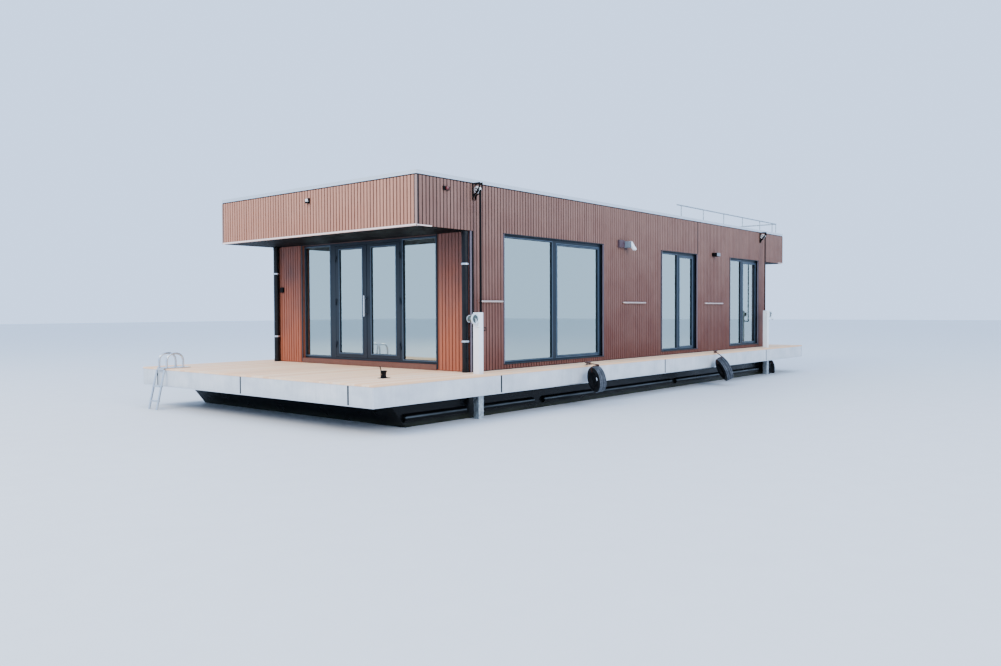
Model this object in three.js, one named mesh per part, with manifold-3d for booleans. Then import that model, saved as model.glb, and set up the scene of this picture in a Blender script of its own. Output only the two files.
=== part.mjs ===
// A flat-bottomed houseboat on a steel pontoon, with a ribbed cabin, two canopies and two spud poles.
// Millimetres. +X is forward to the terrace, +Y is port, +Z is up, z = 0 is the flat hull bottom.
import * as THREE from "three";
import Module from "manifold-3d";
import { mergeVertices } from "three/addons/utils/BufferGeometryUtils.js";

const wasm = await Module();
wasm.setup();

const GAP = 0.3;

// Deck and hull
const DECK = { length: 15050, beam: 6000, top: 1240, board: 28, fasciaBottom: 936, fascia: 40 };
const DECK_FRONT = DECK.length / 2;
const DECK_UNDER = DECK.top - DECK.board;
const FRAME_BOTTOM = 980;
const HULL = {
  halfBeam: 2600, top: FRAME_BOTTOM - GAP, bowTop: 6925, bowBottom: 6125,
  stern: -6175, sternBottom: -5600, sternKnee: 450, chine: 160,
};
const RUB_RAIL = { z: 695, radius: 60 };

// Cabin and roof
const CABIN = { front: 5095, rear: -6250, half: 2500, wall: 120, top: 4040 };
const CANOPY = { front: 6240, rear: -7390, bottom: 3420, thick: 60, soffit: 30 };
const ROOF = { top: 4156.7, trimTop: 4213, trimWidth: 70, trimLip: 10 };
const CEILING = { bottom: 3660, thick: 40 };
const FLOOR_TOP = 1262;

// Full-height windows of one side, the opening and its two lights, along X and Z
const WINDOWS = [
  { name: "saloon", x0: 1385, x1: 4300, a0: 2930, a1: 4215, b0: 1492, b1: 2765 },
  { name: "middle", x0: -2440, x1: -850, a0: -1596, a1: -950, b0: -2295, b1: -1735 },
  { name: "rear", x0: -5790, x1: -4150, a0: -4857, a1: -4290, b0: -5710, b1: -5015 },
];
const WINDOW = {
  bottom: 1330, top: 3425, aBottom: 1375, aTop: 3370, bBottom: 1402, bTop: 3322,
  recess: 50, depth: 70, rebate: 48, ring: 42, glass: 22,
};

// Front glazing: two fixed lights and a pair of doors, distances from its centre line
const GLAZING = {
  centre: 35, half: 1735, bottom: 1330, top: 3405, recess: 50, depth: 70,
  fixed: { starboard: [1002, 1712], port: [917, 1665] }, fixedBottom: 1390, fixedTop: 3360,
  doorHalf: 840, sill: 1370, head: 3350,
};
const LEAF = {
  inner: 6, outer: 834, bottom: 1376, top: 3344, thick: 60,
  glassIn: 125, glassOut: 725, glassBottom: 1460, glassTop: 3280,
};
const HINGE = { half: 55, radius: 8, reach: 26, offset: 12 };
const REAR_DOOR = { y0: -450, y1: 450, bottom: 1280, top: 3330, thick: 60, border: 110, hingeOffset: 22 };

// Spud poles on the port side
const SPUD = {
  y: 2750, post: 107, bore: 92, postBottom: 330, postTop: 2165, poleRadius: 42, poleBottom: 20, poleTop: 2105,
  running: 0.6, collarTop: 1300,
  strapShift: -175, sheaveY: 2597, sheaveZ: 4038, sheaveRadius: 50, lugBottom: 1880,
};
const SPUDS = [
  { name: "front", x: 5205, winch: 1 },
  { name: "rear", x: -5715, winch: -1 },
];

// Wheel fenders: two hang outboard of the port deck edge, each at its own lean, one under it on the hull's side
const FENDER = { radius: 250, hubHole: 46, half: 84, web: 18, tread: 66 };
const FENDERS = [
  { name: "front", at: [2754, 3262, 1020], axis: [0.879, -0.451, -0.153], scale: 0.9, cleat: 2560 },
  { name: "middle", at: [-2213, 3262, 915], axis: [0.504, -0.714, -0.486], scale: 1.04, cleat: -2430 },
];
const STERN_FENDER = { at: [-6050, 2696, 670], scale: 0.94 };

// Bathing ladder at the bow, starboard side
const LADDER = {
  y0: -2450, y1: -2200, tube: 14, pivotX: 7555, pivotZ: 1220, footX: 7745, footZ: 380,
  hoopX: 7370, hoopZ: 1340, hoopRadius: 150, running: 0.5,
};

const RAIL = { front: -1695, rear: -7215, y: 2400, top: 4470, tube: 14 };
const MOTOR = {
  pivotX: -6330, shaftZ: 225, propX: -6690, propRadius: 145,
  arms: [500, 610], armThick: 16, pin: 15, running: 0.6, notch: 32,
};

const PAINT = {
  hull: [0x15171a, 0.5, 0.3], frame: [0x1d2023, 0.6, 0.3], fascia: [0xc6cdd3, 0.45, 0.1],
  boards: [0xd9c3a5, 0.75, 0.0], cladding: [0x8a6459, 0.7, 0.0], roof: [0xb9bec2, 0.6, 0.1],
  trim: [0xd7dbde, 0.35, 0.7], frames: [0x26323d, 0.4, 0.2], glass: [0xbfd0d4, 0.05, 0.0],
  steel: [0xc9ced2, 0.3, 0.9], white: [0xe9edf0, 0.4, 0.1], galvanised: [0x9ca6ab, 0.45, 0.7],
  black: [0x101214, 0.6, 0.1], rubber: [0x18191b, 0.9, 0.0], inside: [0xe4e0d8, 0.8, 0.0],
  wood: [0xb08a62, 0.6, 0.0],
};

const group = new THREE.Group();

function add(name, geometry, paint) {
  const [color, roughness, metalness] = PAINT[paint];
  const material = new THREE.MeshStandardMaterial({ color, roughness, metalness });
  const mesh = new THREE.Mesh(geometry, material);
  mesh.name = name;
  group.add(mesh);
}

// Solids

function toManifold(geometry) {
  const bare = geometry.clone();
  bare.deleteAttribute("normal");
  bare.deleteAttribute("uv");
  const merged = mergeVertices(bare, 1e-4);
  return new wasm.Manifold(new wasm.Mesh({
    numProp: 3,
    vertProperties: new Float32Array(merged.attributes.position.array),
    triVerts: new Uint32Array(merged.index.array),
  }));
}

function toGeometry(manifold) {
  const mesh = manifold.getMesh();
  const geometry = new THREE.BufferGeometry();
  geometry.setAttribute("position", new THREE.BufferAttribute(mesh.vertProperties, 3));
  geometry.setIndex(new THREE.BufferAttribute(mesh.triVerts, 1));
  const flat = geometry.toNonIndexed();
  flat.computeVertexNormals();
  return flat;
}

function union(...geometries) {
  return toGeometry(geometries.map(toManifold).reduce((a, b) => a.add(b)));
}

function cut(geometry, ...tools) {
  return toGeometry(tools.map(toManifold).reduce((a, b) => a.subtract(b), toManifold(geometry)));
}

function box(x0, x1, y0, y1, z0, z1) {
  const geometry = new THREE.BoxGeometry(x1 - x0, y1 - y0, z1 - z0);
  return geometry.translate((x0 + x1) / 2, (y0 + y1) / 2, (z0 + z1) / 2);
}

// A cylinder between two points
function rod(from, to, radius, sides = 16) {
  const start = new THREE.Vector3(...from);
  const end = new THREE.Vector3(...to);
  const axis = end.clone().sub(start);
  const geometry = new THREE.CylinderGeometry(radius, radius, axis.length(), sides);
  const turn = new THREE.Quaternion().setFromUnitVectors(new THREE.Vector3(0, 1, 0), axis.clone().normalize());
  geometry.applyQuaternion(turn);
  const middle = start.add(end).multiplyScalar(0.5);
  return geometry.translate(middle.x, middle.y, middle.z);
}

function outline(points) {
  return new THREE.Shape(points.map(([u, v]) => new THREE.Vector2(u, v)));
}

// A profile in X and Z, extruded along Y
function alongY(shape, y0, y1) {
  const geometry = new THREE.ExtrudeGeometry(shape, { depth: y1 - y0, bevelEnabled: false });
  geometry.rotateX(Math.PI / 2);
  return geometry.translate(0, y1, 0);
}

// A profile in Y and Z, extruded along X
function alongX(shape, x0, x1) {
  const geometry = new THREE.ExtrudeGeometry(shape, { depth: x1 - x0, bevelEnabled: false });
  geometry.rotateX(Math.PI / 2);
  geometry.rotateZ(Math.PI / 2);
  return geometry.translate(x0, 0, 0);
}

// A panel whose faces look along Y, with holes in X and Z
function panelY(x0, x1, z0, z1, holes, y0, y1) {
  return cut(box(x0, x1, y0, y1, z0, z1), ...holes.map(([a, b, c, d]) => box(a, b, y0 - 5, y1 + 5, c, d)));
}

// A panel whose faces look along X, with holes in Y and Z
function panelX(y0, y1, z0, z1, holes, x0, x1) {
  return cut(box(x0, x1, y0, y1, z0, z1), ...holes.map(([a, b, c, d]) => box(x0 - 5, x1 + 5, a, b, c, d)));
}

// A panel whose faces look along Z, with holes in X and Y
function panelZ(x0, x1, y0, y1, holes, z0, z1) {
  return cut(box(x0, x1, y0, y1, z0, z1), ...holes.map(([a, b, c, d]) => box(a, b, c, d, z0 - 5, z1 + 5)));
}

// The pontoon: a raked bow, a lifted stern, chamfered chines and a broken rub rail on each side
function hull() {
  const profile = outline([
    [HULL.sternBottom, 0], [HULL.bowBottom, 0], [HULL.bowTop, HULL.top],
    [HULL.stern, HULL.top], [HULL.stern, HULL.sternKnee],
  ]);
  let body = toManifold(alongY(profile, -HULL.halfBeam, HULL.halfBeam));
  for (const side of [-1, 1]) {
    const wedge = outline([
      [side * (HULL.halfBeam - HULL.chine), -10], [side * (HULL.halfBeam + 10), -10],
      [side * (HULL.halfBeam + 10), HULL.chine],
    ]);
    body = body.subtract(toManifold(alongX(wedge, -8000, 8000)));
  }
  const segments = [[5365, 6625], [3695, 4975], [-1015, 3415], [-5500, -1215]];
  for (const side of [-1, 1]) {
    for (const [x0, x1] of segments) {
      const y = side * HULL.halfBeam;
      body = body.add(toManifold(rod([x0, y, RUB_RAIL.z], [x1, y, RUB_RAIL.z], RUB_RAIL.radius, 12)));
    }
  }
  const M = MOTOR;
  const bracket = [box(HULL.stern - 75, HULL.stern + 10, -90, 90, 480, 640)];
  for (const z of M.arms) {
    bracket.push(box(M.pivotX, HULL.stern - 70, -26, 26, z, z + M.armThick));
    bracket.push(rod([M.pivotX, 0, z], [M.pivotX, 0, z + M.armThick], 26, 24));
  }
  const bore = rod([M.pivotX, 0, 400], [M.pivotX, 0, 700], M.pin + M.running, 24);
  body = body.add(toManifold(union(...bracket))).subtract(toManifold(bore));
  add("hull", toGeometry(body), "hull");
}

// The cross-beam frame over the hull, cut out where the spud posts pass
function deckFrame() {
  const x = DECK_FRONT - DECK.fascia - 6;
  const y = DECK.beam / 2 - DECK.fascia - 6;
  let body = toManifold(box(-x, x, -y, y, 1130, DECK_UNDER - GAP));
  for (let i = 0; i < 13; i += 1) {
    const at = -6900 + i * 1150;
    body = body.add(toManifold(box(at - 45, at + 45, -y, y, FRAME_BOTTOM, 1140)));
  }
  for (const side of [-1, 1]) {
    const edge = side * (y - 40);
    body = body.add(toManifold(box(-x, x, edge - 40, edge + 40, FRAME_BOTTOM, 1140)));
  }
  for (const spud of SPUDS) body = body.subtract(toManifold(spudHole(spud, 900, 1300)));
  const well = box(-6900, -6160, -260, 260, 900, 1120);
  add("deck_frame", toGeometry(body.subtract(toManifold(well))), "frame");
}

function spudHole(spud, z0, z1) {
  const half = SPUD.post / 2 + GAP;
  return box(spud.x - half, spud.x + half, SPUD.y - half, SPUD.y + half, z0, z1);
}

function deckBoards() {
  const x = DECK_FRONT;
  const y = DECK.beam / 2;
  const slab = box(-x, x, -y, y, DECK_UNDER, DECK.top);
  add("deck_boards", cut(slab, ...SPUDS.map((spud) => spudHole(spud, 1100, 1300))), "boards");
}

// Light panels around the deck edge
function fascia() {
  const x = DECK_FRONT - 5;
  const y = DECK.beam / 2 - 5;
  const inner = DECK.fascia;
  const z1 = DECK_UNDER - GAP;
  const ring = panelZ(-x, x, -y, y, [[-x + inner, x - inner, -y + inner, y - inner]], DECK.fasciaBottom, z1);
  add("deck_fascia", ring, "fascia");
}

function walls() {
  const z0 = DECK.top + GAP;
  const holes = WINDOWS.map((w) => [w.x0, w.x1, WINDOW.bottom, WINDOW.top]);
  const inner = CABIN.half - CABIN.wall;
  add("wall_port", panelY(CABIN.rear, CABIN.front, z0, CABIN.top, holes, inner, CABIN.half), "cladding");
  add("wall_starboard", panelY(CABIN.rear, CABIN.front, z0, CABIN.top, holes, -CABIN.half, -inner), "cladding");
  const y = inner - GAP;
  const glazing = [
    GLAZING.centre - GLAZING.half, GLAZING.centre + GLAZING.half, GLAZING.bottom, GLAZING.top,
  ];
  add("wall_front", panelX(-y, y, z0, CABIN.top, [glazing], CABIN.front - CABIN.wall, CABIN.front), "cladding");
  const door = [REAR_DOOR.y0 - 6, REAR_DOOR.y1 + 6, REAR_DOOR.bottom - 6, REAR_DOOR.top + 6];
  const rear = panelX(-y, y, z0, CABIN.top, [door], CABIN.rear, CABIN.rear + CABIN.wall);
  add("wall_rear", union(rear, ...hingeHalves(rearHinge(), CABIN.rear + 4, 1, true)), "cladding");
}

// A canopy box that runs on from the walls: front panel, two returns and a soffit
function canopy(name, near, far) {
  const t = CANOPY.thick;
  const x0 = Math.min(near, far);
  const x1 = Math.max(near, far);
  const outer = box(x0, x1, -CABIN.half, CABIN.half, CANOPY.bottom, CABIN.top);
  const reach = far > near ? [x0 - 10, x1 - t] : [x0 + t, x1 + 10];
  const hollow = box(...reach, -CABIN.half + t, CABIN.half - t, CANOPY.bottom + CANOPY.soffit, CABIN.top + 10);
  add(name, cut(outer, hollow), "cladding");
}

function roof() {
  const top = CABIN.top + GAP;
  add("roof_panel", box(CANOPY.rear, CANOPY.front, -CABIN.half, CABIN.half, top, ROOF.top), "roof");
  const x0 = CANOPY.rear - ROOF.trimLip;
  const x1 = CANOPY.front + ROOF.trimLip;
  const y = CABIN.half + ROOF.trimLip;
  const w = ROOF.trimWidth;
  const trim = panelZ(x0, x1, -y, y, [[x0 + w, x1 - w, -y + w, y - w]], ROOF.top + GAP, ROOF.trimTop);
  add("roof_edge_trim", trim, "trim");
  const inner = CABIN.half - CABIN.wall - 2 * GAP;
  const front = CABIN.front - CABIN.wall - 2 * GAP;
  const rear = CABIN.rear + CABIN.wall + 2 * GAP;
  add("ceiling", box(rear, front, -inner, inner, CEILING.bottom, CEILING.bottom + CEILING.thick), "inside");
  add("cabin_floor", box(rear, front, -inner, inner, DECK.top + GAP, FLOOR_TOP), "wood");
}

// One half of each hinge of a door: a knuckle on the hinge line and a leaf let into the face beside it.
// "away" is the direction along Y from the hinge line to the half's own side, "face" the X it is fixed to.
function hingeHalves(hinge, face, away, lower) {
  return hinge.heights.flatMap((z) => {
    const z0 = lower ? z - HINGE.half : z + GAP;
    const z1 = lower ? z : z + HINGE.half;
    const edge = hinge.y + away * HINGE.reach;
    return [
      rod([hinge.x, hinge.y, z0], [hinge.x, hinge.y, z1], HINGE.radius, 20),
      box(
        Math.min(face, hinge.x), Math.max(face, hinge.x),
        Math.min(hinge.y, edge), Math.max(hinge.y, edge), z0, z1,
      ),
    ];
  });
}

// One window: a ring the whole depth, its two lights' frame in front, and one sheet of glass behind
function windowUnit(side, w) {
  const outer = CABIN.half - WINDOW.recess;
  const mid = outer - (WINDOW.depth - WINDOW.rebate);
  const back = outer - WINDOW.depth;
  const x0 = w.x0 + GAP;
  const x1 = w.x1 - GAP;
  const z0 = WINDOW.bottom + GAP;
  const z1 = WINDOW.top - GAP;
  const lights = [
    [w.a0, w.a1, WINDOW.aBottom, WINDOW.aTop],
    [w.b0, w.b1, WINDOW.bBottom, WINDOW.bTop],
  ];
  const r = WINDOW.ring;
  const front = panelY(x0, x1, z0, z1, lights, mid, outer);
  const ring = panelY(x0, x1, z0, z1, [[x0 + r, x1 - r, z0 + r, z1 - r]], back, mid + 1);
  const frame = union(front, ring);
  const pane = box(
    x0 + r + GAP, x1 - r - GAP, mid - GAP - WINDOW.glass, mid - GAP, z0 + r + GAP, z1 - r - GAP,
  );
  const hand = side > 0 ? "port" : "starboard";
  if (side < 0) {
    frame.scale(1, -1, 1);
    pane.scale(1, -1, 1);
    flip(frame);
    flip(pane);
  }
  add(`window_frame_${w.name}_${hand}`, frame, "frames");
  add(`window_glass_${w.name}_${hand}`, pane, "glass");
}

// A mirrored solid gets its faces turned outward again
function flip(geometry) {
  if (geometry.index) {
    const index = geometry.index.array;
    for (let i = 0; i < index.length; i += 3) {
      [index[i], index[i + 1]] = [index[i + 1], index[i]];
    }
    return;
  }
  const position = geometry.attributes.position.array;
  for (let i = 0; i < position.length; i += 9) {
    for (let k = 0; k < 3; k += 1) {
      [position[i + k], position[i + 3 + k]] = [position[i + 3 + k], position[i + k]];
    }
  }
}

function frontGlazing() {
  const g = GLAZING;
  const outer = CABIN.front - g.recess;
  const inner = outer - g.depth;
  const span = (a, b, side) => (side > 0 ? [g.centre + a, g.centre + b] : [g.centre - b, g.centre - a]);
  const holes = [
    [...span(...g.fixed.starboard, -1), g.fixedBottom, g.fixedTop],
    [g.centre - g.doorHalf, g.centre + g.doorHalf, g.sill, g.head],
    [...span(...g.fixed.port, 1), g.fixedBottom, g.fixedTop],
  ];
  const y0 = g.centre - g.half + GAP;
  const y1 = g.centre + g.half - GAP;
  const panel = panelX(y0, y1, g.bottom + GAP, g.top - GAP, holes, inner, outer);
  const hinges = [-1, 1].map((side) => (
    { side, x: outer + HINGE.offset, y: g.centre + side * LEAF.outer, heights: [1600, 2360, 3120] }
  ));
  const frameHalves = hinges.flatMap((h) => hingeHalves(h, outer - 4, h.side, true));
  add("front_glazing_frame", union(panel, ...frameHalves), "frames");
  for (const [name, side] of [["starboard", -1], ["port", 1]]) {
    const [near, far] = g.fixed[name];
    const [f0, f1] = span(near + GAP, far - GAP, side);
    const x = inner + 23;
    add(`front_fixed_glass_${name}`, box(x, x + 24, f0, f1, g.fixedBottom + GAP, g.fixedTop - GAP), "glass");
    const [l0, l1] = span(LEAF.inner, LEAF.outer, side);
    const [h0, h1] = span(LEAF.glassIn, LEAF.glassOut, side);
    const face = outer - LEAF.thick;
    const hole = [h0, h1, LEAF.glassBottom, LEAF.glassTop];
    const leaf = panelX(l0, l1, LEAF.bottom, LEAF.top, [hole], face, outer);
    const hinge = hinges.find((h) => h.side === side);
    add(`door_leaf_${name}`, union(leaf, ...hingeHalves(hinge, outer - 4, -side, false)), "frames");
    const pane = box(
      face + 18, face + 42, h0 + GAP, h1 - GAP, LEAF.glassBottom + GAP, LEAF.glassTop - GAP,
    );
    add(`door_glass_${name}`, pane, "glass");
  }
  const y = g.centre - 20;
  const bar = rod([outer + 50, y, 2100], [outer + 50, y, 2460], 13, 16);
  const feet = [2150, 2410].map((z) => rod([outer + GAP, y, z], [outer + 50, y, z], 9, 12));
  add("door_pull_handle", union(bar, ...feet), "steel");
}

function rearHinge() {
  return { x: CABIN.rear + 10 - REAR_DOOR.hingeOffset, y: REAR_DOOR.y1, heights: [1500, 2300, 3100] };
}

function rearDoor() {
  const d = REAR_DOOR;
  const b = d.border;
  const hole = [d.y0 + b, d.y1 - b, d.bottom + b, d.top - b];
  const x0 = CABIN.rear + 10;
  const x1 = x0 + d.thick;
  const leaf = panelX(d.y0, d.y1, d.bottom, d.top, [hole], x0, x1);
  add("rear_door_leaf", union(leaf, ...hingeHalves(rearHinge(), x0 + 4, -1, false)), "frames");
  add("rear_door_glass", box(
    x0 + 18, x1 - 18, hole[0] + GAP, hole[1] - GAP, hole[2] + GAP, hole[3] - GAP,
  ), "glass");
}

function inside() {
  const y = CABIN.half - CABIN.wall - 3 * GAP;
  const z0 = FLOOR_TOP + GAP;
  const z1 = CEILING.bottom - GAP;
  const doorway = [-1100, -250, z0 - 10, 3280];
  const slab = box(-65, 15, -y, y, z0, z1);
  add("cabin_partition", cut(slab, box(-80, 30, ...doorway)), "inside");
  add("kitchen_unit", box(300, 3100, -y, -1780, z0, 2160), "inside");
}

function downpipes() {
  for (const [name, side] of [["port", 1], ["starboard", -1]]) {
    const x = CABIN.front + 60 + GAP;
    const y = side * 2440;
    const pipe = rod([x, y, DECK.top + GAP], [x, y, CANOPY.bottom - GAP], 52, 20);
    const clamps = [1720, 2910].map((z) => rod([x, y, z - 12], [x, y, z + 12], 60, 20));
    add(`downpipe_${name}`, union(pipe, ...clamps), "black");
  }
}

function spudGear(spud) {
  const half = SPUD.post / 2;
  const post = box(spud.x - half, spud.x + half, SPUD.y - half, SPUD.y + half, SPUD.postBottom, SPUD.postTop);
  const bores = [
    rod([spud.x, SPUD.y, 300], [spud.x, SPUD.y, 2200], SPUD.poleRadius + SPUD.running, 24),
    rod([spud.x, SPUD.y, SPUD.collarTop], [spud.x, SPUD.y, 2200], SPUD.bore / 2, 24),
  ];
  add(`spud_post_${spud.name}`, cut(post, ...bores), "white");
  const pole = rod([spud.x, SPUD.y, SPUD.poleBottom], [spud.x, SPUD.y, SPUD.poleTop], SPUD.poleRadius, 24);
  add(`spud_pole_${spud.name}`, pole, "galvanised");

  // Open roof bracket with its sheave, and the taut lifting strap down behind the post to a lug against it
  const at = spud.x + SPUD.strapShift;
  const rim = [
    [2500 + GAP, 3885], [2524, 3885], [2556, 3955], [2632, 3998], [2672, 4080], [2672, 4150], [2500 + GAP, 4150],
  ];
  const opening = [[2524, 3940], [2540, 3975], [2614, 4018], [2646, 4084], [2646, 4125], [2524, 4125]];
  const cheeks = [at - 34, at + 26].map((x) => (
    cut(alongX(outline(rim), x, x + 8), alongX(outline(opening), x - 5, x + 13))
  ));
  const sheave = rod([at - 27, SPUD.sheaveY, SPUD.sheaveZ], [at + 27, SPUD.sheaveY, SPUD.sheaveZ], SPUD.sheaveRadius, 24);
  const y = SPUD.sheaveY + SPUD.sheaveRadius;
  const strap = box(at - 22, at + 22, y - 4, y + 4, SPUD.lugBottom, SPUD.sheaveZ);
  const lug = box(at - 22, spud.x - half - GAP, y - 4, 2720, SPUD.lugBottom, SPUD.lugBottom + 20);
  add(`spud_tackle_${spud.name}`, union(...cheeks, sheave, strap, lug), "black");

  // Hand winch on the post's face away from the cabin's middle
  const from = (distance) => spud.x + spud.winch * (half + GAP + distance);
  const block = (near, far, ...rest) => {
    const [x0, x1] = [from(near), from(far)].sort((p, q) => p - q);
    return box(x0, x1, ...rest);
  };
  const z = 2070;
  const drum = rod([from(88), 2700, z], [from(88), 2805, z], 40, 20);
  const plates = [2695, 2795].map((py) => block(0, 150, py, py + 8, z - 60, z + 60));
  const back = block(0, 8, 2690, 2810, z - 70, z + 70);
  const gear = rod([from(88), 2800, z], [from(88), 2822, z], 85, 28);
  const arm = block(78, 98, 2820, 2832, z - 130, z + 15);
  const knob = rod([from(88), 2825, z - 118], [from(88), 2900, z - 118], 13, 12);
  add(`spud_winch_${spud.name}`, union(back, ...plates, drum, gear, arm, knob), "steel");
}

// A tyre-like wheel about an axis through its centre
function wheel(at, axis, scale = 1) {
  const { radius: r, half: w, web, hubHole, tread } = FENDER;
  const half = [[hubHole, web], [144, web], [162, w - 8], [191, w], [229, w - 6], [r, tread]];
  const under = half.map(([u, v]) => [u, -v]);
  const profile = [...under, ...half.reverse(), under[0]].map(([u, v]) => new THREE.Vector2(u * scale, v * scale));
  const tyre = new THREE.LatheGeometry(profile, 36);
  const direction = new THREE.Vector3(...axis).normalize();
  tyre.applyQuaternion(new THREE.Quaternion().setFromUnitVectors(new THREE.Vector3(0, 1, 0), direction));
  return tyre.translate(...at);
}

// A wheel fender lashed over the deck edge to its cleat
function fender(f) {
  const axis = new THREE.Vector3(...f.axis).normalize();
  const up = new THREE.Vector3(0, 0, 1).addScaledVector(axis, -axis.z).normalize();
  const crown = new THREE.Vector3(...f.at).addScaledVector(up, FENDER.radius * f.scale - 12);
  const tied = [crown.x - 20, crown.y + 45, crown.z + 26];
  const z = DECK.top + 34;
  const edge = [f.cleat + 75, 2985, z];
  const bends = [crown.toArray(), tied, edge, [f.cleat, 2955, z - 6]];
  const rope = union(...bends.slice(1).map((point, i) => rod(bends[i], point, 13, 10)));
  const knot = new THREE.SphereGeometry(20, 10, 8).translate(...tied);
  const cleat = box(f.cleat - 65, f.cleat + 65, 2930, 2980, DECK.top + GAP, DECK.top + 42);
  add(`fender_wheel_${f.name}`, union(wheel(f.at, f.axis, f.scale), rope, knot, cleat), "rubber");
}

// The stern wheel lies flat against the hull's side under the deck, on a short rope
function sternFender() {
  const [x, y, z] = STERN_FENDER.at;
  const top = z + FENDER.radius * STERN_FENDER.scale;
  const hanger = rod([x, y, top - 20], [x, y, 1129.7], 13, 12);
  add("fender_wheel_stern", union(wheel([x, y, z], [0, 1, 0], STERN_FENDER.scale), hanger), "rubber");
}

function ladder() {
  const L = LADDER;
  const plate = box(7100, DECK_FRONT + 12, L.y0 - 40, L.y1 + 40, DECK.top + GAP, DECK.top + 12);
  const parts = [plate];
  for (const y of [L.y0, L.y1]) {
    const curve = new THREE.CurvePath();
    const at = (x, z) => new THREE.Vector3(x, y, z);
    curve.add(new THREE.LineCurve3(at(L.hoopX - L.hoopRadius, 1245), at(L.hoopX - L.hoopRadius, L.hoopZ)));
    const steps = 12;
    for (let i = 0; i < steps; i += 1) {
      const [a, b] = [i, i + 1].map((k) => Math.PI * (1 - k / steps));
      const p = [a, b].map((t) => at(L.hoopX + L.hoopRadius * Math.cos(t), L.hoopZ + L.hoopRadius * Math.sin(t)));
      curve.add(new THREE.LineCurve3(...p));
    }
    curve.add(new THREE.LineCurve3(at(L.hoopX + L.hoopRadius, L.hoopZ), at(L.hoopX + L.hoopRadius, 1245)));
    const ring = outline(Array.from({ length: 12 }, (_, i) => {
      const t = (i / 12) * Math.PI * 2;
      return [L.tube * Math.cos(t), L.tube * Math.sin(t)];
    }));
    parts.push(new THREE.ExtrudeGeometry(ring, { steps: 40, extrudePath: curve, bevelEnabled: false }));
  }
  const bar = [L.y0 + L.tube + L.running, L.y1 - L.tube - L.running];
  const lip = box(DECK_FRONT - 5, L.pivotX + 12, ...bar, DECK.top + GAP, DECK.top + 12);
  const hingeBar = box(L.pivotX - 12, L.pivotX + 12, ...bar, L.pivotZ - 12, DECK.top + 8);
  add("ladder_handrails", union(...parts, lip, hingeBar), "steel");

  const legs = [L.y0, L.y1].map((y) => rod([L.pivotX, y, L.pivotZ], [L.footX, y, L.footZ], L.tube, 14));
  const treads = [0.33, 0.62, 0.91].map((t) => {
    const x = L.pivotX + (L.footX - L.pivotX) * t;
    const z = L.pivotZ + (L.footZ - L.pivotZ) * t;
    return box(x - 35, x + 35, L.y0, L.y1, z - 10, z + 10);
  });
  add("swim_ladder", union(...legs, ...treads), "steel");
}

// Low rails around the rear half of the roof, one run to a side
function roofRail() {
  const R = RAIL;
  const foot = ROOF.top + GAP;
  for (const [name, side] of [["port", 1], ["starboard", -1]]) {
    const y = side * R.y;
    const parts = [rod([R.rear, y, R.top], [R.front, y, R.top], R.tube, 10)];
    for (let i = 0; i < 6; i += 1) {
      const x = R.rear + 12 + ((R.front - 212 - R.rear) * i) / 5;
      parts.push(rod([x, y, foot], [x, y, R.top], 12, 8));
    }
    add(`roof_rail_${name}`, union(...parts), "galvanised");
  }
  const end = R.y - R.tube - GAP;
  const stern = [rod([R.rear + 14, -end, R.top], [R.rear + 14, end, R.top], R.tube, 10)];
  for (const y of [-2300, -800, 800, 2300]) {
    stern.push(rod([R.rear + 14, y, foot], [R.rear + 14, y, R.top], 12, 8));
  }
  add("roof_rail_stern", union(...stern), "galvanised");
}

function floodlight() {
  const back = box(690, 890, CABIN.half + GAP, 2560, 3395, 3540);
  const body = box(600, 700, CABIN.half + GAP, 2650, 3400, 3520);
  const head = alongX(outline([[2578, 3513], [2606, 3531], [2712, 3367], [2684, 3349]]), 500, 610);
  add("floodlight", union(back, body, head), "black");
}

function outboard() {
  const M = MOTOR;
  const x = M.pivotX;
  const cowl = box(x - 400, x + 50, -150, 150, 665, 1050);
  const notches = M.arms.map((z) => (
    box(x - M.notch, x + 40, -50, 50, z - 6, z + M.armThick + GAP)
  ));
  const leg = union(
    cut(box(x - 150, x + 28, -34, 34, 250, 680), ...notches),
    rod([x, 0, 470], [x, 0, 660], M.pin, 24),
  );
  const plate = box(x - 330, x + 20, -105, 105, 372, 382);
  const gearcase = rod([x - 340, 0, M.shaftZ], [x + 10, 0, M.shaftZ], 44, 20);
  const skeg = box(x - 200, x - 60, -7, 7, 70, 250);
  add("outboard_motor", union(cowl, leg, plate, gearcase, skeg), "black");

  const hub = rod([x - 340 - GAP, 0, M.shaftZ], [M.propX - 65, 0, M.shaftZ], 36, 18);
  const blades = [0, 1, 2].map((i) => {
    const blade = new THREE.CylinderGeometry(52, 40, M.propRadius - 30, 10).scale(1, 1, 0.09);
    blade.translate(0, (M.propRadius - 30) / 2 + 25, 0);
    blade.rotateY(0.9);
    blade.rotateX((i * 2 * Math.PI) / 3);
    return blade.translate(M.propX - 30, 0, M.shaftZ);
  });
  add("propeller", union(hub, ...blades), "galvanised");
}

hull();
deckFrame();
deckBoards();
fascia();
walls();
canopy("canopy_front", CABIN.front + GAP, CANOPY.front);
canopy("canopy_rear", CABIN.rear - GAP, CANOPY.rear);
roof();
for (const side of [1, -1]) {
  for (const w of WINDOWS) {
    windowUnit(side, w);
  }
}
frontGlazing();
rearDoor();
inside();
downpipes();
SPUDS.forEach(spudGear);
FENDERS.forEach(fender);
sternFender();
ladder();
roofRail();
floodlight();
outboard();

export default group;
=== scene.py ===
from functools import partial
from math import cos, pi, radians, sin

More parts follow.
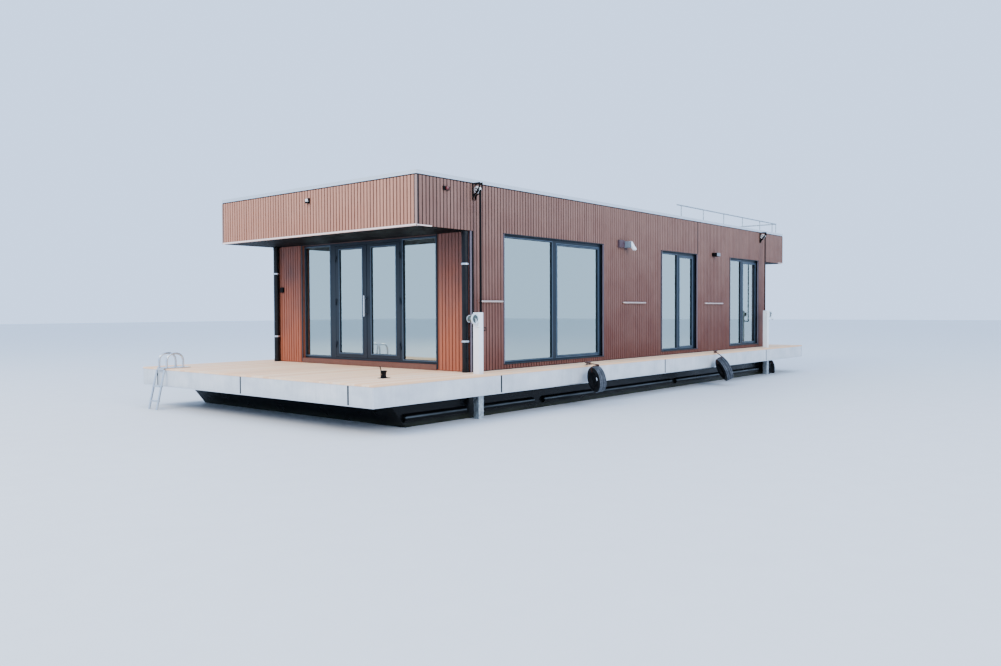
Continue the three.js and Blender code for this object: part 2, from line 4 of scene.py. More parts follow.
import bpy
import numpy as np
from mathutils import Matrix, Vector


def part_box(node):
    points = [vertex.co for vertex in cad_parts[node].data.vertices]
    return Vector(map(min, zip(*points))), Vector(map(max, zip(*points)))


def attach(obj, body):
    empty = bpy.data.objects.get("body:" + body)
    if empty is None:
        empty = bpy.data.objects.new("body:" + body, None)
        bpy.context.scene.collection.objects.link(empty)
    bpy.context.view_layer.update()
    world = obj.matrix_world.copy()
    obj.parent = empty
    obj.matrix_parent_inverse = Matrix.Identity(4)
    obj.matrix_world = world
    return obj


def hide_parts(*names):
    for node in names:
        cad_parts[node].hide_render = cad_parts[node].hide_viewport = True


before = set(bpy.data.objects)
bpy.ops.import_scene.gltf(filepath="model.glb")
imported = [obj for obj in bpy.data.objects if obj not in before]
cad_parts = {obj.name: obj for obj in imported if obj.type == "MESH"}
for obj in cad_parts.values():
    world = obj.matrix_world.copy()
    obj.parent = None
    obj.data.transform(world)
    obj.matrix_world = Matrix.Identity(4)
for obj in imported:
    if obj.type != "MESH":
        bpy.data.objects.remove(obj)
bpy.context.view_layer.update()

# A flat-bottomed houseboat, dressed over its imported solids. Metres, +X forward, +Y port, +Z up.

X, Y, Z = np.eye(3)
WATERLINE = 0.56

# Driving places read from the solids
DECK_LOW, DECK_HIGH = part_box("deck_boards")
FASCIA_LOW, FASCIA_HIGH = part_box("deck_fascia")
ROOF_LOW, ROOF_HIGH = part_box("roof_panel")
GLAZING_LOW, GLAZING_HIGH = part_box("front_glazing_frame")
DOOR_LOW, DOOR_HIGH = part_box("rear_door_leaf")
(STERN, _, _), (FRONT, SIDE, _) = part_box("wall_port")
DECK = DECK_HIGH[2]
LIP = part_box("canopy_front")[0][2]
# Height of the painted highlight line along the rub rail
RUB_RAIL = {"reach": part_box("hull")[1][1], "crest": 0.708}

# The cabin's end walls, the brows in front of them and the roof panel's ends, each with the way that it faces
ENDS = ((FRONT, 1), (STERN, -1))
BROWS = ((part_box("canopy_front")[1][0], 1), (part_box("canopy_rear")[0][0], -1))
ROOF_ENDS = ((ROOF_HIGH[0], 1), (ROOF_LOW[0], -1))
ROOMS = ("saloon", "middle", "rear")
HANDS = {"port": 1, "starboard": -1}

# Ribbed cladding, deck boards, the trims between them and the joints of the deck's edge panels
RIB = {"pitch": 0.072, "width": 0.054, "proud": 0.012, "edge": 0.0025}
RIB_TOP = ROOF_HIGH[2] - 0.0167
BOARD = {"pitch": 0.1463, "gap": 0.005, "length": 4.2, "edge": 0.003}
TRIM = 0.0135
PANEL = {"joint": 0.034, "thick": 0.012, "back": 0.03, "lip": 0.014}
SIDE_JOINTS = (-5.145, -0.105, 4.955)
END_JOINTS = (-2.5, -0.01, 2.5)

# Panes of the port windows, left, right, bottom and top, each window's larger light first
PANES = {
    "saloon": ((2.93, 4.215, 1.375, 3.37), (1.492, 2.765, 1.402, 3.322)),
    "middle": ((-1.596, -0.95, 1.375, 3.37), (-2.295, -1.735, 1.402, 3.322)),
    "rear": ((-4.857, -4.29, 1.375, 3.37), (-5.71, -5.015, 1.402, 3.322)),
}


def stand(name, data, axes=np.eye(3), at=(0, 0, 0)):
    """An object in the scene whose axes lie along the columns of a matrix and whose origin is at a point."""
    made = bpy.data.objects.new(name, data)
    made.matrix_world = Matrix([[*row, end] for row, end in zip(axes, at)] + [[0, 0, 0, 1]])
    bpy.context.scene.collection.objects.link(made)
    return made


def place_camera():
    """The camera, as fitted to the photograph's straight edges."""
    yaw, pitch, roll = np.radians([219.976, -1.535, -0.243])
    ahead = np.array([cos(pitch) * cos(yaw), cos(pitch) * sin(yaw), sin(pitch)])
    level = np.array([sin(yaw), -cos(yaw), 0.0])
    over = np.cross(level, ahead)
    right = cos(roll) * level + sin(roll) * over
    up = cos(roll) * over - sin(roll) * level
    data = bpy.data.cameras.new("photo_camera")
    data.lens, data.sensor_width, data.clip_end = 29.875, 36.0, 400.0
    axes = np.column_stack([right, up, -ahead])
    bpy.context.scene.camera = stand("photo_camera", data, axes, (14.595, 11.060, 2.189))


place_camera()


# Shapes are (points, groups): an array of points, and arrays of faces with the same number of corners

def outward(points, groups):
    """Faces turned so that the signed volume, the sum over fans of a . (b x c) / 6, is positive."""
    volume = 0.0
    for faces in groups:
        corner = points[faces]
        for k in range(1, faces.shape[1] - 1):
            volume += np.einsum("ij,ij->", corner[:, 0], np.cross(corner[:, k], corner[:, k + 1]))
    return points, [faces[:, ::-1] for faces in groups] if volume < 0 else groups


def joined(*shapes):
    """Several shapes as one: points stacked, each shape's face numbers raised by the points before it."""
    points, groups, start = [], [], 0
    for at, faces in shapes:
        points.append(at)
        groups += [group + start for group in faces]
        start += len(at)
    return np.vstack(points), groups


def both(*shapes):
    """The shapes on the two sides of the boat: for the second, y changes sign and faces run the other way round."""
    points, groups = joined(*shapes)
    return joined((points, groups), (points * (1, -1, 1), [faces[:, ::-1] for faces in groups]))


def loft(rings, loop=False):
    """Skin through rings of points: point j of ring i joins points j and j + 1 of ring i + 1.
    The end rings are closed flat, or meet each other when loop is set."""
    rings = np.asarray(rings, float)
    n, m = rings.shape[:2]
    i = np.arange(n if loop else n - 1)[:, None]
    j = np.arange(m)[None]
    after, beside = (i + 1) % n, (j + 1) % m
    groups = [np.stack([i * m + j, i * m + beside, after * m + beside, after * m + j], -1).reshape(-1, 4)]
    if not loop:
        groups += [np.arange(m)[None, ::-1], (n - 1) * m + np.arange(m)[None]]
    return outward(rings.reshape(-1, 3), groups)


def circle(sides):
    """Cosines and sines of evenly spaced angles, as columns."""
    turn = np.arange(sides) * 2 * pi / sides
    return np.cos(turn)[:, None], np.sin(turn)[:, None]


def tube(path, radius, across=Z, sides=12):
    """A round section carried along a flat path. Each ring lies across the path's direction there,
    spanned by across, which is square to the path's plane, and by the direction crossed with it."""
    path = np.asarray(path, float)
    ahead = np.gradient(path, axis=0)
    sideways = np.cross(ahead, across)
    sideways /= np.linalg.norm(sideways, axis=1)[:, None]
    upright = np.cross(sideways, ahead)
    upright /= np.linalg.norm(upright, axis=1)[:, None]
    c, s = circle(sides)
    radius = np.broadcast_to(radius, len(path))[:, None, None]
    return loft(path[:, None] + radius * (c * upright[:, None] + s * sideways[:, None]))


def bent(corners, radius, steps=7):
    """A path through corners, each inner one rounded by the parabola between the points radius away."""
    corners = np.asarray(corners, float)
    inner = corners[1:-1]
    before, beyond = corners[:-2] - inner, corners[2:] - inner
    a, b = (inner + side / np.linalg.norm(side, axis=1)[:, None] * radius for side in (before, beyond))
    t = np.linspace(0, 1, steps)[None, :, None]
    curves = (1 - t) ** 2 * a[:, None] + 2 * t * (1 - t) * inner[:, None] + t ** 2 * b[:, None]
    return np.vstack([corners[:1], curves.reshape(-1, 3), corners[-1:]])


def turned(profile, centre, axis=Z, sides=32, loop=False):
    """A profile of (radius, height) turned about an axis: each point becomes a ring of that radius."""
    axis = np.asarray(axis, float) / np.linalg.norm(axis)
    u = np.cross(axis, X if abs(axis[0]) < 0.9 else Y)
    u /= np.linalg.norm(u)
    v = np.cross(axis, u)
    c, s = circle(sides)
    r, h = (np.asarray(profile, float)[:, k, None, None] for k in (0, 1))
    return loft(centre + h * axis + r * (c * u + s * v), loop)


def rod(a, b, radius, sides=12):
    """A straight round bar from a to b, turned about the line between them."""
    along = np.subtract(b, a)
    return turned([(radius, 0), (radius, np.linalg.norm(along))], a, along, sides)


def plate(outline, origin, u, v, depth):
    """A flat outline in the plane of u and v, carried along their cross product by depth."""
    outline = np.asarray(outline, float)
    ring = origin + outline[:, :1] * u + outline[:, 1:] * v
    return loft([ring, ring + np.cross(u, v) * depth])


def rounded(width, height, radius, steps=5):
    """Outline of a rectangle centred on 0 whose corners are quarter circles."""
    t = np.radians(np.linspace(0, 90, steps))
    quarter = np.column_stack([np.cos(t), np.sin(t)]) * radius
    reach = np.array([width / 2 - radius, height / 2 - radius])
    turns = [np.array([[cos(q), sin(q)], [-sin(q), cos(q)]]) for q in (0, pi / 2, pi, 3 * pi / 2)]
    signs = np.array([[1, 1], [-1, 1], [-1, -1], [1, -1]])
    return np.vstack([quarter @ turn + reach * sign for turn, sign in zip(turns, signs)])


# Corner i of a box is its bits x, y and z. It has points 3 i + k, each on the face square to axis k.
CORNERS = np.array([[i >> k & 1 for k in range(3)] for i in range(8)])


def box_faces():
    """Faces of a box with cut edges: six faces and twelve edges of four corners, and eight corners of three."""
    at = (2 * CORNERS[:, None] - 1 + 0.2 * (1 - 2 * CORNERS[:, None]) * (1 - np.eye(3))).reshape(-1, 3)
    quads = []
    for k in range(3):
        a, b = (k + 1) % 3, (k + 2) % 3
        for end in (0, 1):
            quads.append([3 * (end << k | p << a | q << b) + k for p, q in ((0, 0), (1, 0), (1, 1), (0, 1))])
        for low in (0, 1 << a, 1 << b, 1 << a | 1 << b):
            high = low | 1 << k
            quads.append([3 * low + a, 3 * high + a, 3 * high + b, 3 * low + b])
    groups = [np.array(quads), np.arange(24).reshape(8, 3)]
    for faces in groups:
        normal = np.cross(at[faces[:, 1]] - at[faces[:, 0]], at[faces[:, 2]] - at[faces[:, 0]])
        inward = np.einsum("ij,ij->i", normal, at[faces].mean(1)) < 0
        faces[inward] = faces[inward][:, ::-1]
    return groups


BOX_FACES = box_faces()


def bar(x0, x1, y0, y1, z0, z1, edge=0.002):
    """Boxes between planes, one for each entry of a plane that is an array, with their edges cut off: each corner
    gives three points, each drawn in by edge along two axes."""
    planes = np.broadcast_arrays(*(np.atleast_1d(plane) for plane in (x0, x1, y0, y1, z0, z1)))
    planes = np.stack(planes, -1).reshape(-1, 1, 1, 3, 2).astype(float)
    lows, highs = planes.min(-1), planes.max(-1)
    bit = CORNERS[None, :, None]
    points = (lows + (highs - lows) * bit + edge * (1 - 2 * bit) * (1 - np.eye(3))).reshape(-1, 3)
    start = np.arange(len(points) // 24)[:, None, None] * 24
    return points, [(faces[None] + start).reshape(-1, faces.shape[1]) for faces in BOX_FACES]


def facing(looks, left, right, near, far, bottom, top, edge=0.002):
    """Bars on a wall that looks along X or Y, left and right along it, near and far in depth."""
    if looks == "Y":
        return bar(left, right, near, far, bottom, top, edge)
    return bar(near, far, left, right, bottom, top, edge)


def piece(name, shape, material, body="boat", stands_for=(), sharp=35):
    """One finished piece: the mesh is filled from the arrays, rides on a body and takes a material."""
    points, groups = shape
    mesh = bpy.data.meshes.new(name)
    sizes = np.concatenate([np.full(len(faces), faces.shape[1]) for faces in groups])
    loops = np.concatenate([faces.ravel() for faces in groups])
    mesh.vertices.add(len(points))
    mesh.vertices.foreach_set("co", points.ravel().astype(np.float32))
    mesh.loops.add(len(loops))
    mesh.loops.foreach_set("vertex_index", loops.astype(np.int32))
    mesh.polygons.add(len(sizes))
    mesh.polygons.foreach_set("loop_start", (np.cumsum(sizes) - sizes).astype(np.int32))
    mesh.polygons.foreach_set("use_smooth", np.ones(len(sizes), bool))
    mesh.update(calc_edges=True)
    mesh.set_sharp_from_angle(angle=radians(sharp))
    mesh.materials.append(material)
    made = stand(name, mesh)
    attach(made, body)
    if stands_for:
        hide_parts(*stands_for)
    return made


# Materials

MIX = {"out": 2, "data_type": "RGBA"}


def colour(value):
    """An sRGB hex value as linear red, green, blue and alpha."""
    parts = np.array([value >> 16 & 255, value >> 8 & 255, value & 255]) / 255
    return (*np.where(parts <= 0.04045, parts / 12.92, ((parts + 0.055) / 1.055) ** 2.4), 1.0)


def add(tree, kind, inputs=(), out=0, stops=(), **settings):
    """Adds one shader node and gives one of its outlets. Settings are the node's own. Inputs go by name or number, or
    in the sockets' order: each is a number, a tuple, an sRGB hex colour or the outlet that feeds it. Stops are a
    ramp's places with their hex colours."""
    made = tree.nodes.new("ShaderNode" + kind)
    for key, value in settings.items():
        setattr(made, key, value)
    for key, value in inputs.items() if isinstance(inputs, dict) else enumerate(inputs):
        socket = made.inputs[key]
        if isinstance(value, bpy.types.NodeSocket):
            tree.links.new(value, socket)
        else:
            socket.default_value = colour(value) if isinstance(value, int) and socket.type == "RGBA" else value
    for k, (place, value) in enumerate(stops):
        element = made.color_ramp.elements.new(place) if k > 1 else made.color_ramp.elements[k]
        element.position, element.color = place, colour(value)
    return made.outputs[out] if made.outputs else None


def material(name, build, *values):
    """A material whose surface is the shader that build makes in its tree from object coordinates."""
    made = bpy.data.materials.new(name)
    made.use_nodes = True
    made.node_tree.nodes.clear()
    node = partial(add, made.node_tree)
    node("OutputMaterial", {"Surface": build(node, node("TexCoord", out="Object"), *values)})
    return made


def stained_ribs(node, place, low, high, dark):
    """Thermally treated pine under a translucent red brown stain: matt, upright grain lines and each rib a shade of its
    own. Its colour blends with height from the low colour to the high colour, a painted gradient of light and shade up
    the wall."""
    x, y, z = (node("SeparateXYZ", (place,), out=axis) for axis in "XYZ")
    row = node("Math", (node("Math", (x, y), operation="ADD"), RIB["pitch"]), operation="DIVIDE")
    tone = node("TexWhiteNoise", {"W": node("Math", (row,), operation="FLOOR")}, noise_dimensions="1D")
    # Grain lines 7 mm apart, drawn out 30 times along the rib
    drawn = node("Mapping", {"Vector": place, "Scale": (1, 1, 0.033)})
    grain = node("TexNoise", {"Vector": drawn, "Scale": 1000 / 7, "Detail": 5.0, "Roughness": 0.6})
    # Bleached patches about half a metre across
    patch = node("TexNoise", {"Vector": place, "Scale": 1000 / 500, "Detail": 4.0})
    lift = node("MapRange", (patch, 0.3, 0.7, -0.18, 0.18))
    # Painted light and shade: the colour blends with height from the low colour to the high colour, shifted in patches
    level = node("Math", (node("MapRange", (z, 1.3, 4.0)), lift), operation="ADD", use_clamp=True)
    base = node("Mix", {0: level, 6: low, 7: high}, **MIX)
    base = node("Mix", {0: node("MapRange", (grain, 0.42, 0.68, 0.0, 0.32)), 6: base, 7: dark}, **MIX)
    base = node("Mix", {0: node("MapRange", (tone, 0.0, 1.0, 0.0, 0.2)), 6: base, 7: dark}, **MIX)
    return node("BsdfPrincipled", {
        "Base Color": base, "Roughness": node("MapRange", (grain, 0.3, 0.7, 0.6, 0.78)), "IOR": 1.5,
        "Normal": node("Bump", {"Height": grain, "Distance": 0.0006, "Strength": 0.5}),
    })


def powder_coat(node, place, base, rough, dust, share, sheen=0.5):
    """Powder coat or two-part paint over metal: a fine orange peel under a soft gloss, dust in soft patches."""
    # Orange peel 1.4 mm across
    peel = node("TexNoise", {"Vector": place, "Scale": 1000 / 1.4, "Detail": 2.0})
    # Dust runs 260 mm across and two and a half times as tall
    runs = node("Mapping", {"Vector": place, "Scale": (1, 1, 0.4)})
    patch = node("TexNoise", {"Vector": runs, "Scale": 1000 / 260, "Detail": 6.0, "Roughness": 0.6})
    soil = node("MapRange", (patch, 0.45, 0.8, 0.0, share))
    return node("BsdfPrincipled", {
        "Base Color": node("Mix", {0: soil, 6: base, 7: dust}, **MIX), "Specular IOR Level": sheen,
        "Roughness": node("MapRange", (patch, 0.3, 0.8, rough - 0.04, rough + 0.12)),
        "Normal": node("Bump", {"Height": peel, "Distance": 0.00005, "Strength": 0.4}),
    })


def satin_metal(node, place, base, rough, stretch):
    """Rolled or drawn metal: fine scratches all one way that spread its highlights."""
    # Scratches 4 mm apart, far coarser than the real tenth of a millimetre, so that they show
    drawn = node("Mapping", {"Vector": place, "Scale": stretch})
    lines = node("TexNoise", {"Vector": drawn, "Scale": 1000 / 4, "Detail": 3.0})
    share = node("MapRange", (lines, 0.3, 0.7, 0.0, 0.3))
    return node("BsdfPrincipled", {
        "Base Color": node("Mix", {0: share, 6: base, 7: 0x9AA2A7}, **MIX), "Metallic": 0.9,
        "Roughness": node("MapRange", (lines, 0.3, 0.7, rough, rough + 0.15)),
        "Normal": node("Bump", {"Height": lines, "Distance": 0.00005, "Strength": 0.25}),
    })


def edge_laminate(node, place):
    """High-pressure laminate, concrete grey with a satin press finish: soft clouds, rain streaks and a splash line."""
    # Clouds 420 mm across, streaks 45 mm apart, press grain 3 mm across
    clouds = node("TexNoise", {"Vector": place, "Scale": 1000 / 420, "Detail": 6.0, "Roughness": 0.62})
    fall = node("Mapping", {"Vector": place, "Scale": (1, 1, 0.08)})
    streaks = node("TexNoise", {"Vector": fall, "Scale": 1000 / 45, "Detail": 4.0})
    grit = node("TexNoise", {"Vector": place, "Scale": 1000 / 3, "Detail": 2.0})
    low = node("SeparateXYZ", (place,), out="Z")
    low = node("MapRange", (low, FASCIA_LOW[2], FASCIA_LOW[2] + 0.1, 0.25, 0.0))
    base = node("ValToRGB", (clouds,), stops=[(0.3, 0xB6BCC2), (0.52, 0xC8CDD1), (0.75, 0xDADDDF)])
    base = node("Mix", {0: node("MapRange", (streaks, 0.52, 0.72, 0.0, 0.2)), 6: base, 7: 0x9A9F9D}, **MIX)
    return node("BsdfPrincipled", {
        "Base Color": node("Mix", {0: low, 6: base, 7: 0xA3ABAA}, **MIX),
        "Roughness": node("MapRange", (clouds, 0.3, 0.7, 0.36, 0.52)),
        "Normal": node("Bump", {"Height": grit, "Distance": 0.00005, "Strength": 0.3}),
    })


def laid_boards(node, place, pitch, grain_mm, draw, detail, share, stops):
    """Boards along the boat: each a tone of its own from its number across it, over grain drawn out along them."""
    row = node("Math", (node("SeparateXYZ", (place,), out="Y"), pitch), operation="DIVIDE")
    tone = node("TexWhiteNoise", {"W": node("Math", (row,), operation="FLOOR")}, noise_dimensions="1D")
    lengthwise = node("Mapping", {"Vector": place, "Scale": (draw, 1, 1)})
    grain = node("TexNoise", {"Vector": lengthwise, "Scale": 1000 / grain_mm, "Detail": detail})
    return node("ValToRGB", (node("Mix", {0: share, 2: tone, 3: grain}),), stops=stops), grain


def board_composite(node, place):
    """Wood-plastic deck boards, sanded tan: fine lengthwise grooves and scuffs."""
    # Grooves 6 mm apart, scuffed patches 700 mm across
    stops = [(0.2, 0xF2BC8E), (0.5, 0xFCCDA2), (0.8, 0xFFDFBE)]
    base, grain = laid_boards(node, place, BOARD["pitch"], 6, 0.03, 5.0, 0.55, stops)
    scuff = node("TexNoise", {"Vector": place, "Scale": 1000 / 700, "Detail": 7.0, "Roughness": 0.65})
    worn = node("MapRange", (scuff, 0.5, 0.75, 0.0, 0.4))
    return node("BsdfPrincipled", {
        "Base Color": node("Mix", {0: worn, 6: base, 7: 0xDACCBC}, **MIX),
        "Roughness": node("MapRange", (grain, 0.3, 0.7, 0.66, 0.84)),
        "Normal": node("Bump", {"Height": grain, "Distance": 0.0008, "Strength": 0.5}),
    })


def oak_planks(node, place):
    """Oiled oak laminate with a low sheen: planks 190 mm wide, pores lengthwise."""
    # Pores 14 mm apart
    stops = [(0.25, 0xA98A66), (0.5, 0xC4A27A), (0.8, 0xDEC49C)]
    base, _ = laid_boards(node, place, 0.19, 14, 0.06, 6.0, 0.6, stops)
    return node("BsdfPrincipled", {"Base Color": base, "Roughness": 0.45})


def hull_paint(node, place):
    """Black two-part paint on steel plate: glossy, with weld seams, scrapes, a grey line along the top of the rub rail
    that is a painted highlight, and a chalky line at the water."""
    x, y, z = (node("SeparateXYZ", (place,), out=axis) for axis in "XYZ")
    # Plates 1.5 m long
    along = node("Math", (node("Math", (x, 1.5), operation="DIVIDE"),), operation="FRACT")
    off = node("Math", (node("Math", (along, 0.5), operation="SUBTRACT"),), operation="ABSOLUTE")
    seam = node("MapRange", (off, 0.0, 0.006, 1.0, 0.0))
    # Dull patches 300 mm across, scrapes 30 mm apart drawn out along the side
    drawn = node("Mapping", {"Vector": place, "Scale": (0.5, 1, 1)})
    patch = node("TexNoise", {"Vector": drawn, "Scale": 1000 / 300, "Detail": 7.0, "Roughness": 0.65})
    drawn = node("Mapping", {"Vector": place, "Scale": (0.06, 1, 1)})
    scrape = node("TexNoise", {"Vector": drawn, "Scale": 1000 / 30, "Detail": 5.0})
    base = node("ValToRGB", (patch,), stops=[(0.3, 0x020304), (0.55, 0x050607), (0.8, 0x0B0D0F)])
    base = node("Mix", {0: node("MapRange", (scrape, 0.6, 0.8, 0.0, 0.3)), 6: base, 7: 0x3C4042}, **MIX)
    # The painted highlight is a grey line 20 mm wide along the top of the rub rail, only where the rail stands out from
    # the side, dimmed in patches by the scrape pattern
    above = node("Math", (node("Math", (z, RUB_RAIL["crest"]), operation="SUBTRACT"),), operation="ABSOLUTE")
    out = node("Math", (y,), operation="ABSOLUTE")
    out = node("MapRange", (out, RUB_RAIL["reach"] - 0.03, RUB_RAIL["reach"] - 0.02))
    crest = node("Math", (node("MapRange", (above, 0.006, 0.013, 0.65, 0.0)), out), operation="MULTIPLY")
    crest = node("Math", (crest, node("MapRange", (scrape, 0.35, 0.6, 0.3))), operation="MULTIPLY")
    base = node("Mix", {0: crest, 6: base, 7: 0x5E686E}, **MIX)
    low = node("MapRange", (z, WATERLINE + 0.01, WATERLINE + 0.1, 0.5, 0.0))
    scum = node("Math", (low, node("MapRange", (patch, 0.35, 0.6, 0.3))), operation="MULTIPLY")
    relief = node("Math", (patch, seam), operation="ADD")
    return node("BsdfPrincipled", {
        "Base Color": node("Mix", {0: scum, 6: base, 7: 0x3F4334}, **MIX), "Specular IOR Level": 0.12,
        "Roughness": node("MapRange", (patch, 0.3, 0.7, 0.22, 0.45)),
        "Normal": node("Bump", {"Height": relief, "Distance": 0.001, "Strength": 0.5}),
    })


def coated_glass(node, place):
    """Sun-control double glazing: a thin metal film mirrors much of the sky, the rest passes with a green tint."""
    # Roller waves 900 mm apart in the pane
    wave = node("TexNoise", {"Vector": place, "Scale": 1000 / 900, "Detail": 1.0})
    mirror = node("BsdfPrincipled", {
        "Base Color": 0xE8F4EA, "Metallic": 1.0, "Roughness": 0.02,
        "Normal": node("Bump", {"Height": wave, "Distance": 0.0009, "Strength": 0.3}),
    })
    share = node("MapRange", (node("Fresnel", {"IOR": 1.6}), 0.0, 1.0, 0.5))
    return node("MixShader", (share, node("BsdfTransparent", {"Color": 0xEEF4F1}), mirror))


def moulding(node, place, base, rough, rubbed, share, grain_mm, sheen=0.5):
    """Moulded rubber or plastic: the mould's fine grain, greyed in patches where it rubs."""
    grain = node("TexNoise", {"Vector": place, "Scale": 1000 / grain_mm, "Detail": 3.0})
    # Rubbed patches 90 mm across
    rub = node("TexNoise", {"Vector": place, "Scale": 1000 / 90, "Detail": 6.0, "Roughness": 0.65})
    worn = node("MapRange", (rub, 0.45, 0.75, 0.0, share))
    return node("BsdfPrincipled", {
        "Base Color": node("Mix", {0: worn, 6: base, 7: rubbed}, **MIX), "IOR": 1.52, "Specular IOR Level": sheen,
        "Roughness": node("MapRange", (rub, 0.3, 0.7, rough - 0.06, rough + 0.1)),
        "Normal": node("Bump", {"Height": grain, "Distance": 0.0003, "Strength": 0.4}),
    })


def laid_fibre(node, place, base, dark, pitch_mm):
    """Twisted or woven fibre: slanting strands with dark valleys between them, quite matt."""
    # A band texture at scale 1 repeats about every sixth of its unit
    strand = node("TexWave", {
        "Vector": place, "Scale": 1000 / pitch_mm / 6.3, "Distortion": 1.5, "Detail": 2.0,
    }, out="Fac", wave_type="BANDS", bands_direction="DIAGONAL")
    return node("BsdfPrincipled", {
        "Base Color": node("Mix", {0: strand, 6: dark, 7: base}, **MIX), "Roughness": 0.85, "Specular IOR Level": 0.1,
        "Normal": node("Bump", {"Height": strand, "Distance": 0.0012, "Strength": 0.6}),
    })


def dipped_zinc(node, place, dark, mid, light):
    """Hot-dip galvanised steel: crystals some 25 mm across, each dulled to its own grey."""
    crystal = node("TexVoronoi", {"Vector": place, "Scale": 1000 / 25}, out="Color")
    flake = node("SeparateColor", (crystal,))
    return node("BsdfPrincipled", {
        "Base Color": node("ValToRGB", (flake,), stops=[(0.1, dark), (0.6, mid), (0.95, light)]),
        "Metallic": 0.75, "Roughness": node("MapRange", (flake, 0.0, 1.0, 0.38, 0.58)),
    })


def roof_sheet(node, place):
    """Grey roofing membrane, rolled and welded: cloudy dust, dried puddle rims and a slight crinkle."""
    # Dust clouds 900 mm across, crinkles 60 mm apart
    clouds = node("TexNoise", {"Vector": place, "Scale": 1000 / 900, "Detail": 8.0, "Roughness": 0.65})
    crinkle = node("TexNoise", {"Vector": place, "Scale": 1000 / 60, "Detail": 5.0})
    level = node("Math", (node("Math", (clouds, 9.0), operation="MULTIPLY"),), operation="FRACT")
    rim = node("MapRange", (level, 0.86, 1.0, 0.0, 0.25))
    base = node("ValToRGB", (clouds,), stops=[(0.3, 0x8F9598), (0.55, 0xA9AEB0), (0.8, 0xC0C3C2)])
    return node("BsdfPrincipled", {
        "Base Color": node("Mix", {0: rim, 6: base, 7: 0x7F837F}, **MIX), "Roughness": 0.78,
        "Normal": node("Bump", {"Height": crinkle, "Distance": 0.002, "Strength": 0.3}),
    })


def smooth_finish(node, place, base, second, rough, coat):
    """Painted board, lacquer or clear plastic: even, with a faint drift in tone and gloss."""
    # Drift 300 mm across
    drift = node("TexNoise", {"Vector": place, "Scale": 1000 / 300, "Detail": 4.0})
    return node("BsdfPrincipled", {
        "Base Color": node("Mix", {0: drift, 6: base, 7: second}, **MIX), "Coat Weight": coat,
        "Roughness": node("MapRange", (drift, 0.3, 0.7, rough - 0.03, rough + 0.05)),
    })


def curtain_linen(node, place):
    """Thin off-white linen: threads half a millimetre apart, drawn at 3 mm so that they show."""
    drawn = node("Mapping", {"Vector": place, "Scale": (1, 1, 0.2)})
    thread = node("TexNoise", {"Vector": drawn, "Scale": 1000 / 3, "Detail": 2.0})
    return node("BsdfPrincipled", {
        "Base Color": node("Mix", {0: thread, 6: 0xF4F0E6, 7: 0xDDD8CB}, **MIX), "Roughness": 0.95, "Sheen Weight": 0.3,
        "Normal": node("Bump", {"Height": thread, "Distance": 0.0004, "Strength": 0.4}),
    })


# One stain in tones set by how light falls on each face: the long sides darker and bluer as painted shade, the brows
# lighter as painted light, and the end walls under the canopies orange low down as painted light bounced from the deck
# and dark high up as painted shade
SIDE_RIBS = material("stained_thermowood_side", stained_ribs, 0x643325, 0x8A6455, 0x44241A)
END_RIBS = material("stained_thermowood_ends", stained_ribs, 0xA65838, 0x604440, 0x4C261B)
BROW_RIBS = material("stained_thermowood_brow", stained_ribs, 0xB26E52, 0xB88066, 0x784C3A)
# The walls behind the ribs show only in the gaps between them: dark as painted shade, a lighter painted shade on the
# end walls
RIB_BACK = material("stained_thermowood_backing", stained_ribs, 0x1C0D0A, 0x241817, 0x100706)
END_BACK = material("stained_thermowood_end_backing", stained_ribs, 0x8A4628, 0x553A32, 0x442014)
SILL_BOARD = material("stained_thermowood_sill", stained_ribs, 0x6A4030, 0x6A4E42, 0x3A2218)
LAMINATE = material("laminate_edge_panels", edge_laminate)
DECKING = material("composite_deck_boards", board_composite)
HULL = material("hull_paint_on_steel", hull_paint)
GLASS = material("sun_control_glass", coated_glass)
MEMBRANE = material("roofing_membrane", roof_sheet)
OAK = material("oiled_oak_laminate", oak_planks)
LINEN = material("curtain_linen", curtain_linen)
FRAME_STEEL = material("primed_deck_frame", powder_coat, 0x060708, 0.6, 0x3A3834, 0.14, 0.15)
ANTHRACITE = material("anthracite_powder_coat", powder_coat, 0x111B24, 0.36, 0x5C5A54, 0.06, 0.25)
SOFFIT = material("anthracite_soffit_board", powder_coat, 0x07090C, 0.6, 0x2A2C2E, 0.1, 0.04)
# Lighter than the frames' anthracite: a painted highlight along the beads' edges
BEAD = material("anthracite_bead", powder_coat, 0x44586A, 0.3, 0x8C8A80, 0.06)
WHITE_STEEL = material("white_painted_steel", powder_coat, 0xEEF0F2, 0.38, 0x9A978E, 0.16)
MAUVE_TRIM = material("mauve_lacquered_trim", powder_coat, 0x6C6068, 0.4, 0x6C6A68, 0.1)
SALMON_TRIM = material("salmon_lacquered_trim", powder_coat, 0x94766A, 0.4, 0x8C8A80, 0.1)
CREAM_TRIM = material("cream_lacquered_trim", powder_coat, 0xF0D6CC, 0.4, 0xA8A49A, 0.1)
CAST_GREY = material("grey_cast_aluminium", powder_coat, 0x78828A, 0.4, 0x55574F, 0.2)
WINCH_GREY = material("grey_green_winch_paint", powder_coat, 0x3A4744, 0.4, 0x6C6A63, 0.14)
BLACK_COAT = material("black_powder_coat", powder_coat, 0x030304, 0.5, 0x3A3834, 0.1, 0.12)
ALUMINIUM = material("anodised_aluminium", satin_metal, 0xE3E5E7, 0.32, (0.03, 1, 1))
STAINLESS = material("brushed_stainless", satin_metal, 0xD8DCDF, 0.2, (1, 1, 0.1))
